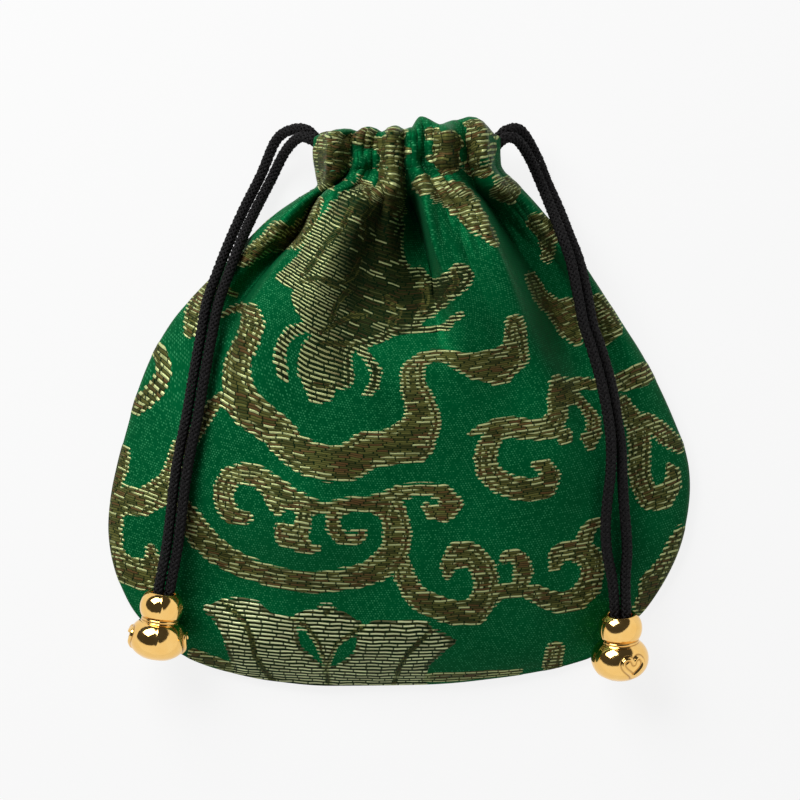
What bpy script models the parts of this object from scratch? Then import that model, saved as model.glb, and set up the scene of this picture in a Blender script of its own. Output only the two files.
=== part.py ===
"""A gathered drawstring pouch of brocade, lying on its back.

Two panels sewn round the sides and the rounded bottom, each with its top edge turned
down into a casing. Two drawcords go right round inside the casings, one out of each
side, and each has both its ends knotted in a gourd bead.

Metres, +Z up. X runs across the pouch, Y towards the mouth, and the front faces up.
The sizes below are in millimetres and are turned into metres by MM.
"""

import math

import bmesh
import bpy
import numpy as np
from mathutils import Matrix, Vector

MM = 0.001

# The pouch's size as it lies. The tables of places below are drawn for the second pair of
# sizes, and are fitted to the first.
WIDTH = 117.0
LENGTH = 114.0
DRAWN_SIZE = {"x": 117.0, "y": 114.0}

# The cloth and the cord
CLOTH = 0.5  # thickness of the brocade
CORD_DIAMETER = 2.1
CLEARANCE = 0.3  # left between pieces that touch
MOUTH_GAP = 4.5  # how far the gathered mouth stays open
CHANNEL = CORD_DIAMETER + 2 * CLEARANCE  # room for a cord inside a casing
CASING_FOLD_DEPTH = 4.5  # how far a gather stands out from the casing's valleys
SLIT = 2.6  # half the opening left at each side of the casing for the cords
HEM_GAP = 1.0  # between the hem's edge and the cloth that it is stitched to
BACK_TOP_RISE = 1.4  # how far the back's turned edge stands over the casing's end
HEM_INSET = 6.4  # the hem stops this far inside the sides, to let the cords out
HEM_FLAT = 0.68  # share of the hem that passes under the cords
HEM_END = 0.65  # and its ends lie this far from the neck's middle height

# The gathered neck is level about its middle height
NECK_MIDDLE = CLOTH + CASING_FOLD_DEPTH + CHANNEL + CLOTH + MOUTH_GAP / 2
NECK_VALLEY = MOUTH_GAP / 2 + CLOTH + CHANNEL  # valleys of the gathers from the middle

# The mesh of a panel
FRONT_COLUMNS = (5, 3, 3, 4, 4, 3, 3, 3, 4, 3, 3, 5)  # from one fold line to the next
BACK_COLUMNS_PER_GATHER = 4
FRONT_BODY_ROWS = 21
BACK_BODY_ROWS = 14
CASING_ROWS = 3
TURN_ROWS = 4
HEM_ROWS = 3


def fitted(axes, rows):
    """Rows of places, each number fitted to the pouch's size along the axis named for it."""
    fit = {"x": WIDTH / DRAWN_SIZE["x"], "y": LENGTH / DRAWN_SIZE["y"], "z": 1.0}
    return [tuple(value * fit[axis] for value, axis in zip(row, axes)) for row in rows]


# The outline seen from the front: left x, y and right x, y from the bottom corners up
SIDE_STATIONS = fitted("xyxy", [
    (-50.9, -44.9, 46.1, -45.1),
    (-54.3, -40.1, 50.5, -39.7),
    (-57.1, -33.3, 54.1, -33.7),
    (-58.3, -26.3, 56.5, -27.9),
    (-57.9, -19.3, 57.9, -21.3),
    (-56.5, -12.3, 58.2, -15.3),
    (-54.5, -4.9, 57.3, -9.7),
    (-52.5, 2.1, 54.9, -3.3),
    (-49.5, 9.5, 51.9, 3.3),
    (-45.3, 16.5, 48.5, 9.7),
    (-40.5, 21.9, 44.9, 15.3),
    (-34.9, 27.5, 40.9, 21.3),
    (-29.5, 33.1, 36.6, 27.9),
    (-24.9, 37.4, 31.9, 33.7),
    (-20.1, 40.7, 27.9, 38.7),
    (-16.2, 43.2, 23.9, 43.0),
    (-16.2, 45.8, 20.4, 46.4),
    (-16.7, 49.0, 19.7, 49.2),
    (-16.7, 52.6, 19.7, 52.6),
])
STITCH_STATION = 16.2  # where the casing is stitched, counted along the stations

# The bottom edge between the two corners, as x and y
BOTTOM_EDGE = fitted("xy", [
    (-50.9, -44.9),
    (-42.7, -51.1),
    (-34.3, -54.0),
    (-25.1, -55.8),
    (-13.9, -56.7),
    (4.5, -56.5),
    (20.9, -55.0),
    (37.5, -51.6),
    (46.1, -45.1),
])

# Heights along the pouch, as y and height
SEAM_HEIGHT = fitted("yz", [
    (-57.0, 1.1),
    (-45.0, 1.4),
    (-20.0, 2.0),
    (5.0, 2.8),
    (20.0, 4.2),
    (32.0, 6.4),
    (43.0, NECK_MIDDLE - 1.0),
    (46.5, NECK_MIDDLE),
    (58.0, NECK_MIDDLE),
])
FRONT_CROWN = fitted("yz", [
    (-57.0, 0.0),
    (-54.0, 3.0),
    (-48.0, 7.2),
    (-38.0, 11.6),
    (-24.0, 15.0),
    (-6.0, 17.4),
    (10.0, 18.0),
    (24.0, 16.6),
    (34.0, 12.8),
    (43.0, 7.6),
    (46.5, NECK_VALLEY),
    (58.0, NECK_VALLEY),
])

# The folds of the front from left to right: how high the turned top edge stands over the
# casing's end there, and the fold's line down from the casing through points of x, y and
# height over the panel's mean surface. It dies out in the body.
FRONT_FOLDS = {
    "left_lobe": (1.4, fitted("xyz", [
        (-13.3, 48, 4.2), (-14.6, 44, 2.6), (-18.9, 41, 0.8), (-25.5, 32, 0.6),
        (-32.3, 24, 0.4), (-38.9, 14, 0.2), (-41.0, 3, 0.0),
    ])),
    "left_pleat_valley": (1.0, fitted("xyz", [
        (-9.5, 48, 0.6), (-12.0, 44, -1.2), (-15.9, 41, -1.8), (-21.1, 32, -2.2),
        (-27.1, 24, -1.7), (-32.7, 14, -0.9), (-34.0, 3, 0.0),
    ])),
    "left_pleat_edge": (2.0, fitted("xyz", [
        (-7.7, 48, 2.0), (-9.9, 44, 2.0), (-14.1, 41, 2.2), (-19.1, 32, 1.7),
        (-24.7, 24, 1.2), (-29.9, 14, 0.5), (-31.0, 3, 0.0),
    ])),
    "pocket": (1.0, fitted("xyz", [
        (-4.5, 48, 0.0), (-5.0, 44, 0.2), (-7.9, 40, 1.8), (-10.9, 32, 1.6),
        (-13.9, 24, 0.9), (-17.9, 14, 0.2), (-19.0, 3, 0.0),
    ])),
    "gold_ridge": (2.1, fitted("xyz", [
        (-1.3, 48, 4.5), (-1.3, 44, 4.2), (-2.5, 40, 2.8), (-4.3, 32, 1.2),
        (-5.9, 24, 0.6), (-7.9, 14, 0.2), (-9.0, 3, 0.0),
    ])),
    "central_valley": (1.5, fitted("xyz", [
        (0.9, 48, 0.6), (1.3, 44, -1.8), (2.5, 40, -4.2), (4.3, 32, -4.4),
        (6.9, 24, -2.2), (8.1, 14, -0.3), (8.5, 3, 0.0),
    ])),
    "green_ridge": (1.8, fitted("xyz", [
        (2.7, 48, 3.6), (4.5, 44, 3.0), (8.0, 40, 2.4), (9.5, 32, 1.8),
        (11.1, 24, 1.0), (13.1, 14, 0.4), (14.0, 3, 0.0),
    ])),
    "lobe_valley": (4.0, fitted("xyz", [
        (4.9, 48, 1.2), (6.8, 44, 1.8), (10.6, 40, 2.8), (12.7, 32, 2.4),
        (15.3, 24, 1.8), (18.5, 14, 0.9), (20.5, 3, 0.2),
    ])),
    "right_lobe": (2.3, fitted("xyz", [
        (9.3, 48, 4.4), (10.6, 44, 3.6), (14.0, 40, 3.2), (16.3, 32, 2.8),
        (19.7, 24, 2.2), (23.1, 14, 1.3), (26.5, 3, 0.4),
    ])),
    "right_valley": (3.3, fitted("xyz", [
        (13.1, 48, 0.8), (14.4, 44, -2.4), (17.3, 40, -4.6), (20.1, 32, -4.3),
        (23.5, 24, -3.3), (27.5, 14, -2.2), (32.0, 3, -1.0), (35.0, -9, 0.0),
    ])),
    "side_lobe": (3.9, fitted("xyz", [
        (16.9, 48, 4.0), (18.4, 44, 2.2), (21.3, 40, 0.6), (25.7, 32, 0.4),
        (30.5, 24, 0.3), (35.7, 14, 0.2), (40.0, 3, 0.0),
    ])),
}
TOP_AT_SIDES = 0.8  # how high the turned edge stands at the side seams
FOLDS_SPREAD = fitted("yy", [(-32.0, 6.0)])[0]  # y over which the fold lines turn into even columns

BACK_GATHERS = 6
BACK_FOLD_FADE = fitted("yy", [(26.0, 45.0)])[0]  # y where they begin, and are at full depth
NECK_ROUNDS = fitted("yy", [(30.0, 46.0)])[0]  # y over which the section turns oval
FLAT_SHARE = 0.35  # the middle of the back's width that lies quite flat

# The drawcords, as x, y, z from the end in the bead, up one strand, round inside the
# casings and down the other strand into the bead again
LEFT_CORD = fitted("xyz", [
    (-47.6, -50.1, 9.5), (-47.3, -48.0, 9.8), (-46.7, -43.0, 10.6), (-46.1, -38.6, 11.3),
    (-45.4, -34.6, 11.0), (-44.4, -29.2, 11.0), (-43.7, -24.2, 11.8), (-42.7, -15.9, 12.7),
    (-41.6, -9.3, 13.2), (-40.2, -2.7, 13.7), (-39.0, 4.5, 13.9), (-37.6, 12.3, 13.3),
    (-36.2, 19.6, 12.1), (-34.4, 25.1, 11.1), (-32.2, 31.3, 9.1), (-29.3, 38.2, 4.9),
    (-26.0, 44.9, 2.6), (-23.0, 50.6, 5.2), (-20.1, 53.2, 9.5), (-17.6, 52.7, 11.4),
    (-15.5, 51.2, 11.9), (-13.2, 49.7, 13.0), (-10.4, 49.6, 14.0), (-6.0, 49.6, 14.45),
    (1.5, 49.6, 14.6), (7.4, 49.6, 14.5), (11.4, 49.6, 14.2), (14.3, 49.6, 13.1),
    (15.3, 49.6, 10.45), (14.3, 49.6, 7.8), (11.4, 49.6, 6.7), (7.4, 49.6, 6.4),
    (1.5, 49.6, 6.3), (-6.0, 49.6, 6.45), (-10.4, 49.6, 6.9), (-13.2, 49.7, 7.9),
    (-15.5, 51.4, 9.3), (-18.1, 54.5, 8.7), (-21.2, 55.1, 6.2), (-24.8, 53.1, 3.2),
    (-28.0, 46.0, 1.7), (-31.4, 39.0, 3.7), (-34.3, 32.1, 6.6), (-36.6, 25.9, 9.0),
    (-38.5, 20.2, 10.6), (-39.8, 12.7, 12.1), (-41.2, 4.7, 12.8), (-42.4, -2.3, 12.7),
    (-43.8, -8.9, 12.2), (-44.9, -15.5, 11.8), (-45.9, -24.0, 11.0), (-46.6, -29.0, 10.6),
    (-47.6, -34.4, 10.9), (-48.3, -38.4, 11.3), (-48.9, -42.8, 10.6), (-49.5, -47.8, 9.8),
    (-49.8, -49.9, 9.5),
])
RIGHT_CORD = fitted("xyz", [
    (43.1, -53.9, 6.45), (43.1, -51.5, 7.2), (43.1, -47.0, 8.7), (43.1, -42.6, 10.1),
    (42.9, -38.8, 10.6), (42.4, -34.6, 10.9), (41.5, -30.1, 11.6), (41.1, -24.9, 12.7),
    (41.4, -19.5, 13.6), (42.0, -14.1, 14.4), (42.1, -9.0, 14.8), (41.7, -4.1, 14.8),
    (40.3, 3.6, 14.4), (38.2, 11.1, 14.4), (36.7, 15.6, 14.4), (35.4, 22.4, 13.1),
    (34.2, 28.3, 11.7), (32.5, 33.4, 10.6), (30.5, 39.0, 6.6), (28.5, 44.2, 4.0),
    (26.2, 49.2, 5.4), (23.7, 52.6, 9.0), (21.4, 53.1, 11.3), (19.2, 51.5, 12.0),
    (17.4, 51.2, 12.3), (15.4, 51.5, 12.9), (12.4, 51.9, 13.9), (8.5, 51.9, 14.4),
    (1.5, 51.9, 14.6), (-5.0, 51.9, 14.5), (-8.9, 51.9, 14.2), (-11.9, 51.9, 13.1),
    (-12.9, 51.9, 10.45), (-11.9, 51.9, 7.8), (-8.9, 51.9, 6.7), (-5.0, 51.9, 6.4),
    (1.5, 51.9, 6.3), (8.5, 51.9, 6.5), (12.4, 51.9, 7.0), (15.4, 51.7, 8.0),
    (17.4, 51.6, 9.1), (19.3, 52.7, 9.6), (21.4, 54.7, 8.8), (24.4, 54.8, 6.3),
    (27.6, 49.9, 2.9), (29.8, 44.6, 1.7), (32.0, 39.5, 3.6), (34.0, 33.9, 7.4),
    (35.9, 28.7, 9.6), (37.3, 22.6, 11.3), (38.5, 15.8, 12.8), (40.0, 11.5, 12.8),
    (42.2, 3.8, 12.9), (43.5, -4.0, 13.2), (44.2, -9.0, 13.2), (44.4, -14.1, 13.1),
    (44.7, -19.5, 12.4), (45.2, -24.7, 11.3), (45.5, -29.7, 10.2), (45.2, -34.3, 9.8),
    (45.2, -38.6, 10.0), (45.3, -42.4, 10.1), (45.3, -47.0, 8.7), (45.3, -51.5, 7.2),
    (45.3, -53.9, 6.45),
])
CORD_SPACING = 4.35  # from one point of a cord's tube to the next
CORD_ROUNDNESS = 2  # bevel resolution

# The gourd beads: radii, and heights from the bottom
BEAD_TURNS = 20  # steps round a bead
BEAD_BORE = 2.45  # room for the cord's two strands
BEAD_RECESS = 2.9  # the hollow in the bottom for the knot
BEAD_RECESS_DEPTH = 3.2
BEAD_FOOT = 3.5
BEAD_LOWER = (4.3, 5.8, 4.2)  # height of its middle, radius, half height
BEAD_LOWER_ARC = (-50, 50, 6)  # first and last angle of its side, and the steps between
BEAD_UPPER = (10.7, 4.35, 3.1)
BEAD_UPPER_ARC = (-36, 45, 4)
BEAD_WAIST = (3.5, 8.2)  # radius and height
BEAD_TOP = 13.1
HEART_SIZE = 2.3  # half the width of the raised heart outlines
HEART_WIRE = 0.38  # half their thickness
HEART_POINTS = 16

# Each bead's lower middle, a place further up its bore, and the turn of its heart
LEFT_BEAD = fitted("xyz", [(-48.3, -46.9, 9.95), (-47.5, -40.7, 11.0)])
LEFT_HEART_TURN = -88.0  # degrees from facing up
RIGHT_BEAD = fitted("xyz", [(44.2, -51.0, 7.35), (44.2, -45.0, 9.3)])
RIGHT_HEART_TURN = 27.0


def smooth_table(value, table, flat_ends=True):
    """A smooth curve through the table's points that never overshoots them."""
    xs = np.array([row[0] for row in table], float)
    ys = np.array([row[-1] for row in table], float)
    if xs[0] > xs[-1]:
        xs, ys = xs[::-1], ys[::-1]
    step = np.diff(xs)
    slope = np.diff(ys) / step
    tangent = np.zeros(len(xs))
    for i in range(1, len(xs) - 1):
        if slope[i - 1] * slope[i] > 0:
            tangent[i] = 2 * slope[i - 1] * slope[i] / (slope[i - 1] + slope[i])
    if not flat_ends:
        tangent[0], tangent[-1] = slope[0], slope[-1]
    v = np.clip(value, xs[0], xs[-1])
    i = np.clip(np.searchsorted(xs, v, side="right") - 1, 0, len(step) - 1)
    u = (v - xs[i]) / step[i]
    return (
        ys[i] * (1 + 2 * u) * (1 - u) ** 2
        + step[i] * tangent[i] * u * (1 - u) ** 2
        + ys[i + 1] * u * u * (3 - 2 * u)
        + step[i] * tangent[i + 1] * u * u * (u - 1)
    )


def through(points, place):
    """The point at place, counted in points, on a smooth curve through the points."""
    p = np.array(points, float)
    i = int(min(max(math.floor(place), 0), len(p) - 2))
    u = place - i
    before = p[i - 1] if i > 0 else 2 * p[i] - p[i + 1]
    after = p[i + 2] if i + 2 < len(p) else 2 * p[i + 1] - p[i]
    m0, m1 = (p[i + 1] - before) / 2, (after - p[i]) / 2
    return (
        p[i] * (1 + 2 * u) * (1 - u) ** 2
        + m0 * u * (1 - u) ** 2
        + p[i + 1] * u * u * (3 - 2 * u)
        + m1 * u * u * (u - 1)
    )


def ease(u):
    u = np.clip(u, 0, 1)
    return u * u * (3 - 2 * u)


def row_places(first, last, rows):
    """Places along the stations with equal lengths of side edge between them."""
    fine = np.linspace(first, last, 400)
    points = np.array([through(SIDE_STATIONS, f) for f in fine])
    steps = np.linalg.norm(np.diff(points, axis=0), axis=1)
    along = np.concatenate([[0], np.cumsum(steps)])
    return np.interp(np.linspace(0, along[-1], rows + 1), along, fine)


def row_edges(place):
    """The two ends of a row, and y at its middle."""
    left_x, left_y, right_x, right_y = through(SIDE_STATIONS, place)
    middle_x = (left_x + right_x) / 2
    return (left_x, left_y), (right_x, right_y), plan_y(middle_x, place)


def plan_y(x, place):
    """y on a row over x: rows follow the bottom edge there and straighten upwards."""
    left_x, left_y, right_x, right_y = through(SIDE_STATIONS, place)
    share = (x - left_x) / (right_x - left_x)
    corner_l, corner_r = BOTTOM_EDGE[0], BOTTOM_EDGE[-1]
    bottom_x = corner_l[0] + (corner_r[0] - corner_l[0]) * share
    chord_y = corner_l[1] + (corner_r[1] - corner_l[1]) * share
    sag = smooth_table(bottom_x, BOTTOM_EDGE, flat_ends=False) - chord_y
    fade = max(0.0, 1 - place / STITCH_STATION)
    return left_y + (right_y - left_y) * share + sag * fade**2.2


def fold_lines(place):
    """x, height and top rise of each fold on a row, with the two side seams."""
    (left_x, _), (right_x, _), y = row_edges(place)
    total = sum(FRONT_COLUMNS)
    held = ease((y - FOLDS_SPREAD[0]) / (FOLDS_SPREAD[1] - FOLDS_SPREAD[0]))
    lines, columns = [(left_x, 0.0, TOP_AT_SIDES)], 0
    for count, (top, points) in zip(FRONT_COLUMNS, FRONT_FOLDS.values()):
        columns += count
        even = left_x + (right_x - left_x) * columns / total
        folded = smooth_table(y, [(p[1], p[0]) for p in points])
        height = smooth_table(y, [(p[1], p[2]) for p in points])
        lines.append((float(even + (folded - even) * held), float(height), top))
    return lines + [(right_x, 0.0, TOP_AT_SIDES)]


def front_row(place):
    """x, height of the folds and top rise at each column of a row of the front."""
    lines = np.array(fold_lines(place))
    x, height, top = [], [], []
    for count, low, high in zip(FRONT_COLUMNS, lines, lines[1:]):
        u = np.arange(count) / count
        x.append(low[0] + (high[0] - low[0]) * u)
        height.append(low[1] + (high[1] - low[1]) * ease(u))
        top.append(low[2] + (high[2] - low[2]) * ease(u))
    x.append(lines[-1:, 0])
    height.append(lines[-1:, 1])
    top.append(lines[-1:, 2])
    return np.concatenate(x), np.concatenate(height), np.concatenate(top)


def roundness(across, y):
    """The section's height from 0 at the seams to 1 in the middle."""
    neck = ease((y - NECK_ROUNDS[0]) / (NECK_ROUNDS[1] - NECK_ROUNDS[0]))
    body = (1 - np.abs(across) ** 2.3) ** 0.85
    oval = np.sqrt(np.maximum(1 - np.abs(across) ** 3.0, 0))
    return body * (1 - neck) + oval * neck


def seam_height(y, place, side):
    """Height of a panel's side edge, which parts from the other's at the casing."""
    opened = ease((place - STITCH_STATION) / 1.2)
    return smooth_table(y, SEAM_HEIGHT) + side * (CLEARANCE / 2 + SLIT * opened)


def across_of(x, place):
    left_x, _, right_x, _ = through(SIDE_STATIONS, place)
    return np.clip(2 * (x - left_x) / (right_x - left_x) - 1, -1, 1)


def front_outer(place):
    """The wrong side of the front along one row, and the rise of its top edge."""
    x, folds, top = front_row(place)
    y, across = plan_y(x, place), across_of(x, place)
    middle_y = row_edges(place)[2]
    seam = seam_height(y, place, 1)
    level = smooth_table(middle_y, SEAM_HEIGHT)
    crown = max(smooth_table(middle_y, FRONT_CROWN) - (seam[0] - level), 0)
    lift = folds * np.minimum(1, 8 * (1 - np.abs(across)))
    return np.stack([x, y, seam + crown * roundness(across, middle_y) + lift], axis=1), top


def back_outer(place):
    """The wrong side of the back: flat on what the pouch lies on, gathered at the neck."""
    columns = BACK_GATHERS * BACK_COLUMNS_PER_GATHER
    across = np.linspace(-1, 1, columns + 1)
    (left_x, _), (right_x, _), middle_y = row_edges(place)
    x = left_x + (right_x - left_x) * (across + 1) / 2
    y = plan_y(x, place)
    seam = seam_height(y, place, -1)
    start, full = BACK_FOLD_FADE
    wave = 0.5 + 0.5 * np.cos(math.pi * BACK_GATHERS * (across + 1))
    floor = CLOTH + ease((middle_y - start) / (full - start)) * CASING_FOLD_DEPTH * wave
    beyond = np.maximum(np.abs(across) - FLAT_SHARE, 0) / (1 - FLAT_SHARE)
    flat = (1 - beyond**4) ** 0.6
    edge = ease(place / 0.8) if place < 0.8 else 1.0
    top = BACK_TOP_RISE + 0.8 * (1 - wave)
    return np.stack([x, y, seam + (floor - seam) * flat * edge], axis=1), top


def panel_rows(outer, side, body_rows):
    """The wrong side of one panel, row by row from the bottom edge to the hem."""
    last = len(SIDE_STATIONS) - 1
    body = row_places(0, STITCH_STATION, body_rows)
    casing = np.linspace(STITCH_STATION, last, CASING_ROWS + 1)[1:]
    rows = [outer(place)[0] for place in [*body, *casing]]
    top = outer(last)[1]

    # The hem inside the casing: a smooth strip that meets the outer cloth at the stitches
    hem = []
    for k in range(HEM_ROWS + 1):
        down = k / HEM_ROWS
        place = last + (STITCH_STATION + 0.1 - last) * down
        x, y, z = outer(place)[0].T
        across = across_of(x, place)
        middle, half = (x[0] + x[-1]) / 2, (x[-1] - x[0]) / 2
        narrow = middle + (x - middle) * (half - HEM_INSET) / half
        oval = np.sqrt(np.maximum(1 - np.abs(across) ** 3, 0))
        level = NECK_MIDDLE + side * (HEM_END + (MOUTH_GAP / 2 + CLOTH - HEM_END) * oval)
        stitched = np.interp(narrow, x, z) - side * HEM_GAP
        meet = ease((down - HEM_FLAT) / (1 - HEM_FLAT))
        hem.append(np.stack([narrow, y, level + (stitched - level) * meet], axis=1))

    # The turn over the top edge joins the two
    turn = []
    for k in range(1, TURN_ROWS):
        angle = math.pi * k / TURN_ROWS
        share = (1 - math.cos(angle)) / 2
        turned = rows[-1] * (1 - share) + hem[0] * share
        turned[:, 1] += top * math.sin(angle)
        turn.append(turned)
    return rows + turn + hem


def mesh_object(name, bm, material, collection):
    mesh = bpy.data.meshes.new(name)
    bm.to_mesh(mesh)
    bm.free()
    obj = bpy.data.objects.new(name, mesh)
    obj.data.materials.append(material)
    collection.objects.link(obj)
    return obj


def panel(name, outer, side, body_rows, material, collection):
    bm = bmesh.new()
    verts = [[bm.verts.new(p * MM) for p in row] for row in panel_rows(outer, side, body_rows)]
    for low, high in zip(verts, verts[1:]):
        for i in range(len(low) - 1):
            quad = (low[i], low[i + 1], high[i + 1], high[i])
            bm.faces.new(quad if side > 0 else quad[::-1])
    obj = mesh_object(name, bm, material, collection)
    obj.data.shade_smooth()
    shell = obj.modifiers.new("cloth thickness", "SOLIDIFY")
    shell.thickness = CLOTH * MM
    shell.offset = 1
    return obj


def along_curve(points, spacing):
    """Points at equal steps of about the spacing along a smooth curve through the points."""
    fine = np.array([through(points, f) for f in np.linspace(0, len(points) - 1, 3000)])
    steps = np.linalg.norm(np.diff(fine, axis=0), axis=1)
    reach = np.concatenate([[0], np.cumsum(steps)])
    at = np.linspace(0, reach[-1], round(reach[-1] / spacing) + 1)
    return np.stack([np.interp(at, reach, fine[:, k]) for k in range(3)], axis=1)


def cord(name, points, material, collection):
    curve = bpy.data.curves.new(name, "CURVE")
    curve.dimensions = "3D"
    curve.bevel_depth = CORD_DIAMETER / 2 * MM
    curve.bevel_resolution = CORD_ROUNDNESS
    curve.use_fill_caps = True
    spline = curve.splines.new("POLY")
    places = along_curve(points, CORD_SPACING)
    spline.points.add(len(places) - 1)
    for point, place in zip(spline.points, places):
        point.co = (*(place * MM), 1)
    obj = bpy.data.objects.new(name, curve)
    curve.materials.append(material)
    collection.objects.link(obj)
    return obj


def ball_arc(middle, radius, half, low, high, steps):
    """Points up the side of a squat ball, from one angle to another above its middle."""
    points = []
    for k in range(steps + 1):
        angle = math.radians(low + (high - low) * k / steps)
        points.append((radius * math.cos(angle), middle + half * math.sin(angle)))
    return points


def bead_profile():
    """Radius and height down the bore from its top, then up the outside."""
    bore_and_recess = [
        (BEAD_BORE, BEAD_TOP - 0.3),
        (BEAD_BORE, BEAD_RECESS_DEPTH + 0.5),
        (BEAD_RECESS, BEAD_RECESS_DEPTH),
        (BEAD_RECESS, 0),
    ]
    lower = ball_arc(*BEAD_LOWER, *BEAD_LOWER_ARC)
    upper = ball_arc(*BEAD_UPPER, *BEAD_UPPER_ARC)
    return [*bore_and_recess, (BEAD_FOOT, 0), *lower, BEAD_WAIST, *upper, (BEAD_BORE + 0.3, BEAD_TOP)]


def turned(profile, steps):
    """A ring-shaped solid, its section turned about Z."""
    bm = bmesh.new()
    rings = []
    for step in range(steps):
        angle = 2 * math.pi * step / steps
        ring = [(r * math.cos(angle), r * math.sin(angle), height) for r, height in profile]
        rings.append([bm.verts.new(Vector(p) * MM) for p in ring])
    for one, two in zip(rings, rings[1:] + rings[:1]):
        for i in range(len(profile)):
            j = (i + 1) % len(profile)
            bm.faces.new((one[i], two[i], two[j], one[j]))
    bmesh.ops.recalc_face_normals(bm, faces=bm.faces)
    return bm


def heart_curve():
    """Even steps round a heart of half width 1, as x and y, from the cleft at its top."""
    t = np.linspace(0, 2 * math.pi, 721)
    x = np.sin(t) ** 3
    y = (13 * np.cos(t) - 5 * np.cos(2 * t) - 2 * np.cos(3 * t) - np.cos(4 * t)) / 16
    reach = np.concatenate([[0], np.cumsum(np.hypot(np.diff(x), np.diff(y)))])
    at = np.linspace(0, reach[-1], HEART_POINTS + 1)[:-1]
    return zip(np.interp(at, reach, x), np.interp(at, reach, y))


def heart_outline(turn, material, collection):
    """A closed wire in the shape of a heart, half sunk in the side of the lower ball."""
    middle, radius, half = BEAD_LOWER
    curve = bpy.data.curves.new("heart outline", "CURVE")
    curve.dimensions = "3D"
    curve.bevel_depth = HEART_WIRE * MM
    curve.bevel_resolution = 1
    spline = curve.splines.new("POLY")
    spline.points.add(HEART_POINTS - 1)
    spline.use_cyclic_u = True
    for point, (side, rise) in zip(spline.points, heart_curve()):
        height = rise * HEART_SIZE
        out = radius * math.sqrt(1 - (height / half) ** 2)
        angle = side * HEART_SIZE / out
        place = Vector((math.sin(angle) * out, -math.cos(angle) * out, middle + height))
        point.co = (*(Matrix.Rotation(turn, 3, "Z") @ place * MM), 1)
    wire = bpy.data.objects.new("heart outline", curve)
    curve.materials.append(material)
    collection.objects.link(wire)
    mesh = bpy.data.meshes.new_from_object(wire)
    bpy.data.objects.remove(wire)
    bm = bmesh.new()
    bm.from_mesh(mesh)
    bmesh.ops.remove_doubles(bm, verts=bm.verts, dist=0.001 * MM)
    return bm


def bead(name, place, heart_turn, material, collection, cutters):
    """A gourd bead with a heart on two opposite sides, turned about its bore."""
    low, high = place
    obj = mesh_object(name, turned(bead_profile(), BEAD_TURNS), material, collection)
    axis = (Vector(high) - Vector(low)).normalized()
    front = (Vector((0, 0, 1)) - axis * axis.z).normalized()
    across = axis.cross(front)
    turn = Matrix((across, -front, axis)).transposed()
    home = Matrix.Translation((Vector(low) - axis * BEAD_LOWER[0]) * MM) @ turn.to_4x4()
    for k in range(2):
        outline = heart_outline(math.radians(heart_turn + 180 * k), material, collection)
        heart = mesh_object(name + " heart", outline, material, cutters)
        heart.hide_render = True
        heart.display_type = "WIRE"
        heart.matrix_world = home
        union = obj.modifiers.new("raised heart", "BOOLEAN")
        union.operation = "UNION"
        union.solver = "EXACT"
        union.object = heart
    obj.matrix_world = home
    obj.data.shade_smooth()
    obj.data.set_sharp_from_angle(angle=math.radians(50))
    return obj


def material(name, colour, roughness, metallic):
    mat = bpy.data.materials.new(name)
    mat.use_nodes = True
    shader = mat.node_tree.nodes["Principled BSDF"]
    shader.inputs["Base Color"].default_value = (*colour, 1)
    shader.inputs["Roughness"].default_value = roughness
    shader.inputs["Metallic"].default_value = metallic
    return mat


def main():
    for obj in list(bpy.data.objects):
        bpy.data.objects.remove(obj, do_unlink=True)
    pouch = bpy.data.collections.new("drawstring_pouch")
    cutters = bpy.data.collections.new("cutters")
    bpy.context.scene.collection.children.link(pouch)
    bpy.context.scene.collection.children.link(cutters)
    brocade = material("green brocade", (0.005, 0.15, 0.04), 0.45, 0.0)
    panel("front_panel", front_outer, 1, FRONT_BODY_ROWS, brocade, pouch)
    panel("back_panel", back_outer, -1, BACK_BODY_ROWS, brocade, pouch)
    braid = material("black braid", (0.01, 0.009, 0.01), 0.6, 0.0)
    cord("drawcord_left", LEFT_CORD, braid, pouch)
    cord("drawcord_right", RIGHT_CORD, braid, pouch)
    plating = material("gold plating", (0.85, 0.55, 0.16), 0.15, 1.0)
    bead("gourd_bead_left", LEFT_BEAD, LEFT_HEART_TURN, plating, pouch, cutters)
    bead("gourd_bead_right", RIGHT_BEAD, RIGHT_HEART_TURN, plating, pouch, cutters)


main()
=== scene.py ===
import math
from functools import partial

import bpy
import numpy as np
from mathutils import Matrix, Vector


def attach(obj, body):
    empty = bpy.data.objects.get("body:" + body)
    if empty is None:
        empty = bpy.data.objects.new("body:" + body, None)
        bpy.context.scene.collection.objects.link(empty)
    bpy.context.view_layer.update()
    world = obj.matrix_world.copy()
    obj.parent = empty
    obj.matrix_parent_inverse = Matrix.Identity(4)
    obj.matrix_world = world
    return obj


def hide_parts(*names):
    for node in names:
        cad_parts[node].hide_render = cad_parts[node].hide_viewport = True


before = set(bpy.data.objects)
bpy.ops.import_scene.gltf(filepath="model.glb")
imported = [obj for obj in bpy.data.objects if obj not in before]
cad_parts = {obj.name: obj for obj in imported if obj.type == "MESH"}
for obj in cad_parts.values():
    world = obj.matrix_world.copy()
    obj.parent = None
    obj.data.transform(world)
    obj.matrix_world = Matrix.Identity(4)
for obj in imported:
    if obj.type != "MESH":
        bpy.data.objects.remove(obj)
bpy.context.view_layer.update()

mm = 0.001
rootBody = "root"


def srgb(red, green, blue):
    # a colour given from 0 to 255, turned into the renderer's own values
    values = [value / 255 for value in (red, green, blue)]
    return tuple(v / 12.92 if v <= 0.04045 else ((v + 0.055) / 1.055) ** 2.4 for v in values)


def intoScene(name, data):
    piece = bpy.data.objects.new(name, data)
    bpy.context.collection.objects.link(piece)
    return piece


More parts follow.
